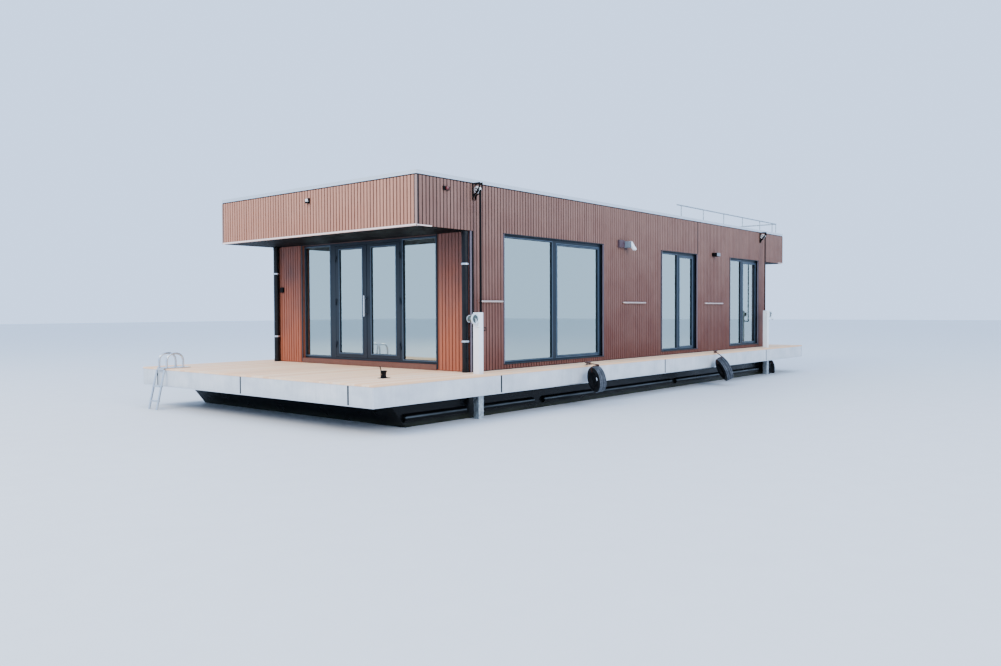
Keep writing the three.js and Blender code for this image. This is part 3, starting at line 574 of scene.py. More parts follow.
# Stainless tinted salmon: a painted reflection of the wooden walls and deck
RAIL_STEEL = material("warm_brushed_stainless", satin_metal, 0xD8BEB2, 0.3, (0.1, 1, 1))
LADDER_STEEL = material("polished_ladder_steel", satin_metal, 0xC4CBD2, 0.2, (1, 1, 0.1))
ZINC = material("hot_dip_zinc", dipped_zinc, 0x8B9499, 0xA6AFB3, 0xBAC1C4)
BRIGHT_ZINC = material("bright_zinc_plate", dipped_zinc, 0xD4DCE0, 0xE4EAEC, 0xF2F5F6)
DARK_MAUVE = material("dark_mauve_box", moulding, 0x4A343C, 0.5, 0x6B5558, 0.2, 2.0)
RUSTY_CLEAT = material("rusty_cast_cleat", moulding, 0x3A2320, 0.6, 0x6B4338, 0.5, 3.0)
BLACK_PVC = material("black_pvc_pipe", moulding, 0x08090B, 0.32, 0x26292C, 0.2, 2.0, 0.2)
RUBBER = material("fender_rubber", moulding, 0x07080B, 0.6, 0x1C1E22, 0.4, 2.0, 0.12)
# The tread band is grey as a painted sheen of the sky on it; its paler rubbed patches are wear
TREAD = material("worn_tread_rubber", moulding, 0x40454D, 0.6, 0x7A8088, 0.6, 2.0, 0.3)
ROPE = material("tarred_rope", laid_fibre, 0x5A3A34, 0x1F1312, 9)
WEBBING = material("polyester_webbing", laid_fibre, 0x0C0B0C, 0x030303, 5)
INSIDE = material("painted_wall_board", smooth_finish, 0xF2EFE8, 0xE2DED5, 0.7, 0.0)
KITCHEN = material("kitchen_lacquer", smooth_finish, 0x3A4146, 0x30373B, 0.35, 0.0)
WORKTOP = material("composite_worktop", smooth_finish, 0xD4CEC3, 0xBDB6AA, 0.3, 0.0)
LENS = material("frosted_lamp_lens", smooth_finish, 0xF2F4F3, 0xE0E3E2, 0.25, 0.2)
RED_LENS = material("red_lamp_lens", smooth_finish, 0x6E1410, 0x5A100D, 0.15, 0.5)
GREEN_LENS = material("green_lamp_lens", smooth_finish, 0x0F5A2A, 0x0C4A22, 0.15, 0.5)
COWL = material("gloss_cowl_lacquer", smooth_finish, 0x15181B, 0x101214, 0.22, 0.5)


def dress(finish, *nodes):
    """The solids themselves, shown in a better material. A name with a * stands for both hands."""
    for name in nodes:
        for hand in HANDS if "*" in name else [""]:
            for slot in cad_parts[name.replace("*", hand)].material_slots:
                slot.material = finish


dress(HULL, "hull")
dress(FRAME_STEEL, "deck_frame")
# Walls and brow panels behind the ribs, dark as painted shade in the gaps
dress(RIB_BACK, "wall_*", "canopy_front", "canopy_rear")
dress(END_BACK, "wall_front", "wall_rear")
dress(MEMBRANE, "roof_panel")
dress(ALUMINIUM, "roof_edge_trim")
dress(INSIDE, "ceiling", "cabin_partition")
dress(OAK, "cabin_floor")
dress(ANTHRACITE, "front_glazing_frame", "rear_door_leaf", "door_leaf_*", *(f"window_frame_{r}_*" for r in ROOMS))
dress(GLASS, "rear_door_glass", "front_fixed_glass_*", "door_glass_*", *(f"window_glass_{r}_*" for r in ROOMS))
dress(STAINLESS, "door_pull_handle")
dress(WHITE_STEEL, "spud_post_front", "spud_post_rear")
dress(ZINC, "spud_pole_front", "spud_pole_rear")
dress(BLACK_PVC, "downpipe_*")


# Cladding and the trims on the walls. Spans and rectangles are rows of left, right, bottom and top.

def strips(start, end, low, high, pitch=RIB["pitch"], width=RIB["width"]):
    """Spans of strips one pitch apart that fill start to end."""
    count = int(round((end - start) / pitch))
    middle = start + (np.arange(count) + 0.5) * (end - start) / count
    return np.column_stack([middle - width / 2, middle + width / 2, np.full(count, low), np.full(count, high)])


def around(spans, *holes):
    """The spans with rectangles left free: one that meets a hole becomes two, above and below it."""
    for left, right, bottom, top in holes:
        meets = (spans[:, 1] > left) & (spans[:, 0] < right) & (spans[:, 3] > bottom) & (spans[:, 2] < top)
        below, above = spans[meets].copy(), spans[meets].copy()
        below[:, 3] = bottom
        above[:, 2] = top
        spans = np.vstack([spans[~meets], below, above])
    return spans[spans[:, 3] - spans[:, 2] > 0.012]


def on_wall(spans, face, out, looks, edge):
    """Bars over spans of a wall that looks along X or Y, from its face to face + out."""
    left, right, bottom, top = np.transpose(spans)
    return facing(looks, left, right, face, face + out, bottom, top, edge)


def upright(spans, face, way, looks):
    """Ribs over spans of a wall."""
    return on_wall(spans, face, way * RIB["proud"], looks, RIB["edge"])


def borders(rects, face, out, looks, start, width):
    """Four bars round each rectangle, from start outside its edges to start + width."""
    spans = []
    for left, right, bottom, top in rects:
        a, b, c, d = left - start, right + start, bottom - start, top + start
        spans += [(a - width, a, c - width, d + width), (b, b + width, c - width, d + width),
                  (a, b, c - width, c), (a, b, d, d + width)]
    return on_wall(spans, face, out, looks, 0.001)


def window_hole(room, margin=0.009):
    """The rectangle of a window's frame on port, let out by margin."""
    (x0, _, z0), (x1, _, z1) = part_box(f"window_frame_{room}_port")
    return x0 - margin, x1 + margin, z0 - margin, z1 + margin


def cladding():
    """Ribs in their fields: the long sides with the canopies' returns, the two brows, and the walls behind the
    terraces. They run up over the roof panel's edge to the black line under the cap."""
    sill, corner, fold = DECK + 0.012, 0.062, 0.036
    (bow, _), (rear, _) = BROWS
    sides = np.vstack([
        around(strips(STERN + corner, FRONT - corner, sill, RIB_TOP), *(window_hole(room) for room in ROOMS)),
        strips(FRONT - corner, bow - fold, LIP, RIB_TOP), strips(rear + fold, STERN + corner, LIP, RIB_TOP),
    ])
    # Each field takes its stain in the tone painted for the light and shade on that face
    for hand, way in HANDS.items():
        piece(f"side_ribs_{hand}", upright(sides, way * SIDE, way, "Y"), SIDE_RIBS)
    brow = strips(fold - SIDE, SIDE - fold, LIP + 0.021, RIB_TOP)
    wall = strips(0.02 - SIDE, SIDE - 0.02, sill, LIP - 0.002)
    glazing = GLAZING_LOW[1] - 0.03, GLAZING_HIGH[1] + 0.03, 0.0, GLAZING_HIGH[2] + 0.03
    doorway = DOOR_LOW[1] - 0.05, DOOR_HIGH[1] + 0.05, 0.0, DOOR_HIGH[2] + 0.05
    for end, (out, way) in zip(("front", "rear"), BROWS):
        piece(f"brow_ribs_{end}", upright(brow, out, way, "X"), BROW_RIBS)
    for end, (face, way), hole in zip(("front", "rear"), ENDS, (glazing, doorway)):
        piece(f"end_ribs_{end}", upright(around(wall, hole), face, way, "X"), END_RIBS)


def cap_backing():
    """Thin dark strips between the ribs over the roof panel's edge: painted shade in the gaps."""
    z0, z1, out = ROOF_LOW[2] - 0.003, RIB_TOP + 0.002, 0.0006
    edges = [bar(ROOF_LOW[0], ROOF_HIGH[0], SIDE, SIDE + out, z0, z1, 0.0)]
    edges += [bar(end, end + way * out, 0.0, SIDE, z0, z1, 0.0) for end, way in ROOF_ENDS]
    piece("cap_backing", both(*edges), RIB_BACK)


def corner_profiles():
    """Folded profiles at the outer corners with a dark shadow gap at each cabin corner, a pale lip under each brow,
    a joint over each middle window, and the black line under the roof's cap."""
    def profile(end, way, low, high, on_face, on_side):
        """One folded profile at an end of the port side, reaching back over the face and the side."""
        return bar(end - way * on_side, end + way * TRIM, SIDE - on_face, SIDE + TRIM, low, high)

    low, high = DECK + 0.006, LIP - 0.002
    corners = [profile(*end, low, high, 0.006, 0.014) for end in ENDS]
    gaps = [bar(end - way * 0.054, end - way * 0.014, SIDE - 0.01, SIDE + 0.004, low, high, 0.001) for end, way in ENDS]
    folds = [profile(*end, LIP + 0.021, RIB_TOP, 0.024, 0.004) for end in BROWS]
    lips = []
    for end, way in BROWS:
        lips.append(bar(end, end + way * TRIM, 0.0, SIDE + TRIM, LIP - 0.004, LIP + 0.02))
        lips.append(bar(end - way * 0.03, end, 0.0, SIDE, LIP - 0.006, LIP - 0.0005, 0.001))
        lips.append(bar(end - way * 0.3, end + way * TRIM, SIDE, SIDE + TRIM, LIP - 0.004, LIP + 0.014))
    x0, _, _, head = window_hole("middle")
    gaps.append(bar(x0 - 0.018, x0 + 0.01, SIDE, SIDE + TRIM, head + 0.002, RIB_TOP, 0.001))
    z0, z1, out = RIB_TOP + 0.0005, ROOF_HIGH[2] - 0.0005, ROOF_HIGH[1] + 0.005
    gaps.append(bar(ROOF_LOW[0], ROOF_HIGH[0], ROOF_HIGH[1], out, z0, z1, 0.001))
    gaps += [bar(end, end + way * 0.005, 0.0, out, z0, z1, 0.001) for end, way in ROOF_ENDS]
    piece("corner_profiles", both(*corners), MAUVE_TRIM)
    piece("brow_corner_profiles", both(*folds), SALMON_TRIM)
    piece("brow_lips", both(*lips), CREAM_TRIM)
    piece("shadow_gaps", both(*gaps), BLACK_COAT)


def glazing_beads():
    """Raised beads over black gaskets close round every pane, and a second pair of lines round the sashes. The beads
    are lighter than the frames: a painted highlight along their edges.
    """
    beads, gaskets = [], []
    for room in ROOMS:
        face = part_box(f"window_frame_{room}_port")[1][1]
        for rects, start in ((PANES[room], 0.0005), (PANES[room][1:], 0.026)):
            gaskets.append(borders(rects, face, 0.002, "Y", start, 0.006))
            beads.append(borders(rects, face, 0.005, "Y", start + 0.007, 0.01))
    piece("window_beads", both(*beads), BEAD)
    piece("window_gaskets", both(*gaskets), BLACK_PVC)
    face = FRONT - 0.05
    for hand in HANDS:
        for name, body in ((f"front_fixed_glass_{hand}", "boat"), (f"door_glass_{hand}", f"door_{hand}")):
            (_, y0, z0), (_, y1, z1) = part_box(name)
            rect = [(y0, y1, z0, z1)]
            piece(f"{name}_bead", borders(rect, face, 0.005, "X", 0.008, 0.012), BEAD, body=body)
            piece(f"{name}_gasket", borders(rect, face, 0.002, "X", 0.0008, 0.0065), BLACK_PVC, body=body)


def opening_trims():
    """Pale edges up the sides of the windows over black strips of painted shade deeper in the reveals, dark heads and
    sills, and dark trims round the end openings."""
    pale, dark, black = [], [], []
    out, back = SIDE + TRIM, SIDE - 0.0495
    for room in ROOMS:
        x0, x1, z0, z1 = window_hole(room, 0.0)
        for a, b in ((x0 - 0.008, x0 + 0.003), (x1 - 0.003, x1 + 0.008)):
            # Black strip deep in the reveal: painted shade
            black.append(bar(a, b, back, SIDE - 0.014, z0, z1, 0.001))
            pale.append(bar(a, b, SIDE - 0.013, out, z0, z1, 0.001))
        dark.append(bar(x0 - 0.008, x1 + 0.008, back, out, z1 - 0.003, z1 + 0.009))
        dark.append(bar(x0 - 0.008, x1 + 0.008, back, out + 0.014, z0 - 0.009, z0 + 0.003))
    piece("window_reveals", both(*pale), MAUVE_TRIM)
    piece("window_liners", both(*black), BLACK_COAT)
    piece("window_heads_and_sills", both(*dark), ANTHRACITE)

    y0, y1, top = GLAZING_LOW[1], GLAZING_HIGH[1], GLAZING_HIGH[2]
    spans = [(a, b, GLAZING_LOW[2] - 0.07, top + 0.028) for a, b in ((y0 - 0.028, y0), (y1, y1 + 0.028))]
    front = on_wall([*spans, (y0, y1, top, top + 0.028)], FRONT, TRIM, "X", 0.002)
    threshold = bar(FRONT, FRONT + 0.02, y0, y1, DECK + 0.005, GLAZING_LOW[2] - 0.004)
    y0, y1, top = DOOR_LOW[1] - 0.012, DOOR_HIGH[1] + 0.02, DOOR_HIGH[2]
    spans = [(a, b, DECK + 0.004, top + 0.05) for a, b in ((y0 - 0.038, y0), (y1, y1 + 0.03))]
    rear = on_wall([*spans, (y0, y1, top + 0.012, top + 0.05)], STERN, -TRIM, "X", 0.002)
    piece("end_opening_trims", joined(front, rear), ANTHRACITE)
    piece("front_threshold", threshold, SILL_BOARD)


def soffits():
    """Dark boards under both canopies in eight courses."""
    edges = np.linspace(-SIDE + 0.002, SIDE - 0.002, 9)
    boards = [bar(end + way * TRIM, brow - way * 0.031, edges[:-1] + 0.0015, edges[1:] - 0.0015,
                  LIP - 0.009, LIP - 0.0004, 0.001) for (end, way), (brow, _) in zip(ENDS, BROWS)]
    piece("soffit_boards", joined(*boards), SOFFIT)


# Deck, edge panels and hull fittings

def deck():
    """Boards laid lengthwise, their butt joints shifted row by row, cut out around the spud posts."""
    rows = strips(-3.0, 3.0, 0, 0, BOARD["pitch"], BOARD["pitch"] - BOARD["gap"])
    shift = np.random.default_rng(7).uniform(0, BOARD["length"], len(rows))
    start = DECK_LOW[0] - shift[:, None] + BOARD["length"] * np.arange(5)[None]
    low = np.clip(start, DECK_LOW[0], DECK_HIGH[0])
    high = np.clip(start + BOARD["length"] - 0.004, DECK_LOW[0], DECK_HIGH[0])
    spans = np.column_stack([np.repeat(rows[:, 0], 5), np.repeat(rows[:, 1], 5), low.ravel(), high.ravel()])
    spans = spans[spans[:, 3] - spans[:, 2] > 0.05]
    posts = [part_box(f"spud_post_{end}") for end in ("front", "rear")]
    spans = around(spans, *((a[1] - 0.004, b[1] + 0.004, a[0] - 0.004, b[0] + 0.004) for a, b in posts))
    left, right, low, high = spans.T
    left = np.where(left < -2.99, DECK_LOW[1], left)
    right = np.where(right > 2.99, DECK_HIGH[1], right)
    planks = bar(low, high, left, right, DECK_LOW[2], DECK_HIGH[2], BOARD["edge"])
    piece("deck_planks", planks, DECKING, stands_for=["deck_boards"])


def edge_panels():
    """Laminate panels around the deck, black joints nearly flush with them, metal corners and a lower lip."""
    x, y, z1 = FASCIA_HIGH
    z0 = FASCIA_LOW[2]
    gap, thick, back, lip = PANEL["joint"] / 2, PANEL["thick"], PANEL["back"], z0 + PANEL["lip"]
    panels, backing, trims = [], [], []
    for looks, reach, out, joints in (("Y", x, y, SIDE_JOINTS), ("X", y, x, END_JOINTS)):
        joints = np.array(joints)
        inner = reach - thick
        for way in (1, -1):
            side = partial(facing, looks)
            panels.append(side(np.append(-inner, joints + gap), np.append(joints - gap, inner),
                               way * (out - thick), way * out, lip, z1, 0.0012))
            backing.append(side(joints - gap, joints + gap, way * (out - back), way * (out - 0.0012),
                                z0 + 0.003, z1, 0.0005))
            backing.append(side(-inner, inner, way * (out - back), way * (out - thick - 0.001), z0 + 0.004, z1 - 0.002))
            trims.append(side(0.01 - reach, reach - 0.01, way * (out - 0.024), way * (out + 0.002), z0, lip, 0.0015))
    piece("edge_panels", joined(*panels), LAMINATE, stands_for=["deck_fascia"])
    piece("edge_backing", joined(*backing), BLACK_COAT)
    corner = rounded(0.02, 0.02, 0.005, 4)
    bow, stern = ([plate(corner + (end, way * (y - 0.0095)), (0, 0, z0), X, Y, z1 - z0 - 0.001) for way in (1, -1)]
                  for end in (x - 0.0095, 0.0095 - x))
    piece("edge_corners_stern", joined(*stern), BEAD)
    piece("edge_corners_and_lip", joined(*bow, *trims), ALUMINIUM)


def cleat(x, y):
    """A horn cleat lengthwise: two turned feet under a bar whose section swells in the middle and whose ends
    lift by the fourth power of the distance from it."""
    t = np.linspace(-1, 1, 15)
    path = np.array([x, y, DECK + 0.045]) + np.outer(t * 0.11, X) + np.outer(0.014 * t ** 4, Z)
    feet = [rod((x + s * 0.035, y, DECK), (x + s * 0.035, y, DECK + 0.045), 0.013) for s in (1, -1)]
    base = bar(x - 0.07, x + 0.07, y - 0.03, y + 0.03, DECK, DECK + 0.008)
    return joined(base, *feet, tube(path, 0.016 - 0.007 * t ** 2, Y))


def deck_fittings():
    """A turned bollard at the port bow with an upright catch beside it, and two cleats at the stern."""
    x, y = 6.65, 2.24
    profile = [(0.052, 0.0), (0.052, 0.01), (0.034, 0.016), (0.031, 0.05), (0.036, 0.082), (0.046, 0.09),
               (0.046, 0.1), (0.036, 0.106), (0.001, 0.108)]
    base = bar(x - 0.075, x + 0.075, y - 0.055, y + 0.055, DECK, DECK + 0.008)
    catch = bent([(x + 0.055, y, DECK + 0.006), (x + 0.055, y, DECK + 0.12), (x + 0.075, y, DECK + 0.17)], 0.03)
    bollard = turned(profile, (x, y, DECK + 0.004), Z, 28)
    piece("deck_bollard", joined(base, bollard, tube(catch, 0.008, Y)), BLACK_COAT)
    piece("stern_cleats", joined(*(cleat(-7.25, y) for y in (1.3, -1.3))), BLACK_COAT)


# Roof

def roof():
    """Welded seams in the membrane, and three turned vents under hoods on little legs."""
    low, high = ROOF_LOW, ROOF_HIGH
    top = high[2]
    seams = np.arange(low[0] + 1.1, high[0] - 0.3, 1.06)
    seams = bar(seams - 0.03, seams + 0.03, low[1] + 0.07, high[1] - 0.07, top - 0.001, top + 0.003, 0.001)
    piece("membrane_seams", seams, MEMBRANE)
    pipe = [(0.09, 0), (0.09, 0.012), (0.055, 0.02), (0.055, 0.13), (0.001, 0.13)]
    hood = [(0.06, 0.15), (0.105, 0.135), (0.11, 0.15), (0.09, 0.185), (0.04, 0.205), (0.001, 0.21)]
    vents = []
    for x, y in ((0.9, -1.2), (-2.6, -1.4), (-3.9, 0.6)):
        vents += [turned(profile, (x, y, top), Z, 28) for profile in (pipe, hood)]
        legs = [(x + 0.05 * cos(a), y + 0.05 * sin(a)) for a in (0.5, 2.6, 4.7)]
        vents += [rod((*leg, top + 0.12), (*leg, top + 0.155), 0.006, 8) for leg in legs]
    piece("roof_vents", joined(*vents), ZINC)


def rails():
    """Low tube rail round the rear half of the roof: each run's top rail with its posts and foot plates."""
    top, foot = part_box("roof_rail_port")[1][2] - 0.014, ROOF_HIGH[2]
    rear, front, side = -7.215, -1.695, 2.4
    posts = rear + 0.012 + (front - 0.212 - rear) * np.arange(6) / 5
    runs = {hand: [(x, way * side) for x in (rear, front, *posts)] for hand, way in HANDS.items()}
    runs["stern"] = [(rear + 0.014, y) for y in (0.014 - side, side - 0.014, -2.3, -0.8, 0.8, 2.3)]
    for name, (start, end, *posts) in runs.items():
        run = [tube([(*start, top), (*end, top)], 0.014, Z, 16)]
        for at in posts:
            run.append(rod((*at, foot), (*at, top), 0.011, 14))
            run.append(turned([(0.03, 0), (0.03, 0.006), (0.016, 0.012), (0.012, 0.03)], (*at, foot), Z, 20))
        piece(f"rail_run_{name}", joined(*run), ZINC, stands_for=[f"roof_rail_{name}"])


# Fittings on the walls

def grab_bars():
    """A tube on two stand-offs, three to a side, its steel tinted salmon as a painted reflection of the wood around it.
    """
    parts = []
    y, z = SIDE + 0.052, 2.336
    for a, b in ((4.375, 4.914), (-0.118, 0.698), (-3.666, -2.787)):
        parts.append(tube(bent([(a, SIDE, z), (a, y, z), (b, y, z), (b, SIDE, z)], 0.034), 0.017, Z, 18))
    piece("grab_bars", both(*parts), RAIL_STEEL)


def lamps():
    """Box wall lamps over the side decks, navigation lamps on the canopies and a switch box by the door."""
    lamp = bar(-3.337, -3.167, SIDE + 0.012, SIDE + 0.13, 3.415, 3.495, 0.005)
    pane = bar(-3.333, -3.171, SIDE + 0.13, SIDE + 0.142, 3.42, 3.49, 0.004)
    piece("wall_lamps", both(lamp), BLACK_COAT)
    piece("wall_lamp_lenses", both(pane), CAST_GREY)
    barrel = [(0.022, -0.024), (0.024, -0.02), (0.024, 0.02), (0.022, 0.024)]
    for (hand, way), lens in zip(HANDS.items(), (RED_LENS, GREEN_LENS)):
        shade = bar(5.585, 5.715, way * (SIDE + 0.01), way * (SIDE + 0.035), 3.975, 4.035, 0.004)
        piece(f"side_lamp_shade_{hand}", shade, BLACK_COAT)
        glow = turned(barrel, (5.65, way * (SIDE + 0.045), 4.005), Z, 24)
        piece(f"side_lamp_lens_{hand}", glow, lens)
    stem, glow, y = [], [], 0.03
    for x, way in BROWS:
        stem.append(bar(x + way * 0.008, x + way * 0.03, y - 0.022, y + 0.034, 3.93, 4.02, 0.003))
        x += way * 0.052
        stem.append(turned([(0.026, 0), (0.028, 0.004), (0.028, 0.02), (0.022, 0.024)], (x, y, 3.935), Z, 28))
        glow.append(turned([(0.02, 0), (0.024, 0.006), (0.024, 0.036), (0.014, 0.046)], (x, y, 3.959), Z, 28))
    piece("end_lamp_stems", joined(*stem), BLACK_COAT)
    piece("end_lamp_lenses", joined(*glow), LENS)
    case = [bar(FRONT + 0.01, FRONT + 0.045, -2.35, -2.26, 2.55, 2.65, 0.004),
            bar(FRONT + 0.045, FRONT + 0.05, -2.33, -2.28, 2.57, 2.63, 0.002)]
    piece("switch_box", joined(*case), BLACK_COAT)


def floodlight():
    """A white cover that slopes out and down past a finned grey body, with a dark box beside it on the wall."""
    slope = np.array([0, 0.106, -0.164]) / np.hypot(0.106, 0.164)
    corner = np.array([0.555, 2.631, 3.431])
    head = plate(rounded(0.11, 0.194, 0.012, 6), corner, X, slope, 0.03)
    face = plate(rounded(0.09, 0.166, 0.008), corner - np.cross(X, slope) * 0.004, X, slope, 0.005)
    fins = np.linspace(0.605, 0.694, 7)
    fins = bar(fins, fins + 0.006, SIDE + 0.012, SIDE + 0.15, 3.4, 3.52, 0.0015)
    core = bar(0.606, 0.696, SIDE + 0.012, SIDE + 0.135, 3.41, 3.51, 0.003)
    case = [bar(0.701, 0.89, SIDE, SIDE + 0.06, 3.395, 3.54, 0.006),
            bar(0.712, 0.879, SIDE + 0.06, SIDE + 0.066, 3.407, 3.528)]
    case += [rod((x, SIDE + 0.05, 3.395), (x, SIDE + 0.05, low), 0.01) for x, low in ((0.62, 3.365), (0.66, 3.36))]
    piece("floodlight_head", head, WHITE_STEEL, stands_for=["floodlight"])
    piece("floodlight_glass", face, LENS)
    piece("floodlight_body", joined(core, fins), CAST_GREY)
    piece("floodlight_box", joined(*case), DARK_MAUVE)


def pipe_clamps():
    """Turned clamps round the downpipes and a socket at each of their ends."""
    x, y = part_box("downpipe_port")[1][0] - 0.06, 2.44
    clamp = [(0.053, -0.013), (0.0605, -0.013), (0.0605, 0.013), (0.053, 0.013)]
    socket = [(0.0525, 0), (0.056, 0.003), (0.056, 0.05), (0.0525, 0.053)]
    clamps = [turned(clamp, (x, y, z), Z, 40, loop=True) for z in (1.72, 2.91)]
    sockets = [turned(socket, (x, y, z), Z, 40, loop=True) for z in (DECK + 0.004, LIP - 0.062)]
    piece("downpipe_clamps", both(*clamps), STAINLESS)
    piece("downpipe_sockets", both(*sockets), BLACK_PVC)


# Spud poles

def spud_fittings():
    """Open roof brackets with their sheaves, the straps down to the posts, locking pins, and zinc sleeves on the
    posts under the deck. A cheek is a rim outline and its opening, point to point."""
    rim = [(2.5003, 3.885), (2.524, 3.885), (2.556, 3.955), (2.632, 3.998), (2.672, 4.08), (2.672, 4.15),
           (2.5003, 4.15)]
    opening = [(2.524, 3.94), (2.529, 3.951), (2.54, 3.975), (2.614, 4.018), (2.646, 4.084), (2.646, 4.125),
               (2.524, 4.125)]
    groove = [(0.012, 0.025), (0.056, 0.025), (0.056, 0.02), (0.047, 0.016), (0.047, -0.016), (0.056, -0.02),
              (0.056, -0.025), (0.012, -0.025)]
    wheels, straps, pins, sleeves = [], [], [], []
    for end in ("front", "rear"):
        low, high = np.array(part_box(f"spud_post_{end}"))
        x, y, _ = (low + high) / 2
        at, face = x - 0.175, low[0]
        cheeks = [bar(at - 0.03, at + 0.03, 2.5003, 2.508, 3.89, 4.145, 0.001),
                  bar(at - 0.022, face - 0.0003, 2.643, 2.72, 1.88, 1.9)]
        for near in (at - 0.034, at + 0.026):
            outer, inner = ([[(h, *p) for p in ring] for h in (near, near + 0.008)] for ring in (rim, opening))
            cheeks.append(loft([outer[0], outer[1], inner[1], inner[0]], loop=True))
        middle = np.array([at, 2.597, 4.038])
        cheeks += [turned([(0.03, -0.003), (0.03, 0.003)], middle + X * s, X, 24) for s in (-0.031, 0.031)]
        wheels += [turned(groove, middle, X, 40, loop=True), rod(middle - X * 0.04, middle + X * 0.04, 0.014, 16)]
        straps.append(bar(at - 0.0235, at + 0.0235, 2.643, 2.653, 1.885, 4.038, 0.001))
        z, out = high[2] - 0.235, face - 0.125
        pins += [rod((face, y, z), (face - 0.105, y, z), 0.008),
                 tube(bent([(face - 0.1, y, z), (out, y, z), (out, y, z - 0.05)], 0.01), 0.006, Y)]
        size = high[0] - face
        outer, inner = rounded(size + 0.003, size + 0.003, 0.006), rounded(size - 0.001, size - 0.001, 0.004)
        rings = [np.column_stack([r + (x, y), np.full(len(r), h)])
                 for r, h in ((outer, low[2] + 0.001), (outer, 0.976), (inner, 0.976), (inner, low[2] + 0.001))]
        sleeves.append(loft(rings, loop=True))
        piece(f"spud_bracket_{end}", joined(*cheeks), BLACK_COAT, stands_for=[f"spud_tackle_{end}"])
    piece("spud_sheaves", joined(*wheels), BRIGHT_ZINC)
    piece("lifting_straps", joined(*straps), WEBBING)
    piece("spud_lock_pins", joined(*pins), BLACK_COAT)
    piece("spud_sleeves", joined(*sleeves), ZINC)


def winches():
    """A hand winch on each post: a drum between two round cheeks, a toothed wheel outside them and a crank."""
    z, teeth = 2.07, 34
    turn = np.arange(teeth * 4) * 2 * pi / (teeth * 4)
    rim = 0.0815 + 0.003 * np.sign(np.sin(teeth * turn + 0.4))
    rope = [(0.02, 0.0), (0.044, 0.004), (0.048, 0.03), (0.048, 0.055), (0.044, 0.08), (0.02, 0.084)]
    grip = [(0.006, 0), (0.013, 0.012), (0.014, 0.045), (0.011, 0.062), (0.001, 0.066)]
    for end, way, side in (("front", 1, 1), ("rear", -1, 0)):
        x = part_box(f"spud_post_{end}")[side][0]
        at = x + way * 0.088
        parts = [loft([np.column_stack([at + r * np.cos(turn), np.full(len(turn), y), z + r * np.sin(turn)])
                       for r, y in ((0.06, 2.801), (rim, 2.801), (rim, 2.819), (0.06, 2.819))], loop=True)]
        parts += [turned([(0.02, 0), (0.056, 0), (0.056, 0.006), (0.02, 0.006)], (at, y, z), Y, 36, loop=True)
                  for y in (2.694, 2.79)]
        parts += [bar(x, x + way * 0.01, 2.69, 2.81, z - 0.07, z + 0.07, 0.004),
                  *(bar(x, at, y, y + 0.006, z - 0.05, z + 0.05) for y in (2.694, 2.79)),
                  tube(bent([(at, 2.814, z), (at, 2.83, z), (at - 0.004, 2.83, z - 0.125)], 0.01), 0.008, X),
                  turned(grip, (at - 0.004, 2.832, z - 0.118), Y, 20)]
        piece(f"winch_wheel_{end}", joined(*parts), BRIGHT_ZINC, stands_for=[f"spud_winch_{end}"])
        drum = [turned([(0.026, 0), (0.026, 0.088)], (at, 2.7, z), Y, 28), turned(rope, (at, 2.703, z), Y, 32),
                turned([(0.0605, 0.0), (0.0605, 0.008), (0.03, 0.013), (0.001, 0.015)], (at, 2.803, z), Y, 32)]
        piece(f"winch_drum_{end}", joined(*drum), WINCH_GREY)


# Fenders: sections are (radius, width), and lashings run round the tyre through its web

TYRE = {"radius": 0.25, "half": 0.084, "hub": 0.046}
LASHED = ((0.15, 0.08), (0.205, 0.0905), (0.244, 0.072), (0.257, 0.03), (0.257, -0.03), (0.244, -0.072),
          (0.205, -0.0905), (0.15, -0.08))


def wheel_sections():
    """A wheel fender's sections, each one half and its mirror image: the tyre, a web at the hub and a bulged side
    wall, and the tread over it, a band with four grooves closed against the tyre's body."""
    radius, half = TYRE["radius"], TYRE["half"]
    tyre = [(TYRE["hub"], 0.016), (0.112, 0.018), (0.14, 0.03), (0.158, half - 0.014), (0.18, half - 0.001),
            (0.21, half), (0.232, half - 0.012), (0.242, half - 0.024)]
    tread = [(radius - 0.012, half - 0.016), (radius - 0.004, half - 0.02), (radius, half - 0.026)]
    for a in (half - 0.034, 0.016):
        tread += [(radius, a), (radius - 0.01, a - 0.002), (radius - 0.01, a - 0.01), (radius, a - 0.012)]
    return [np.vstack([upper, np.array(upper)[::-1] * (1, -1)]) for upper in (tyre, tread)]


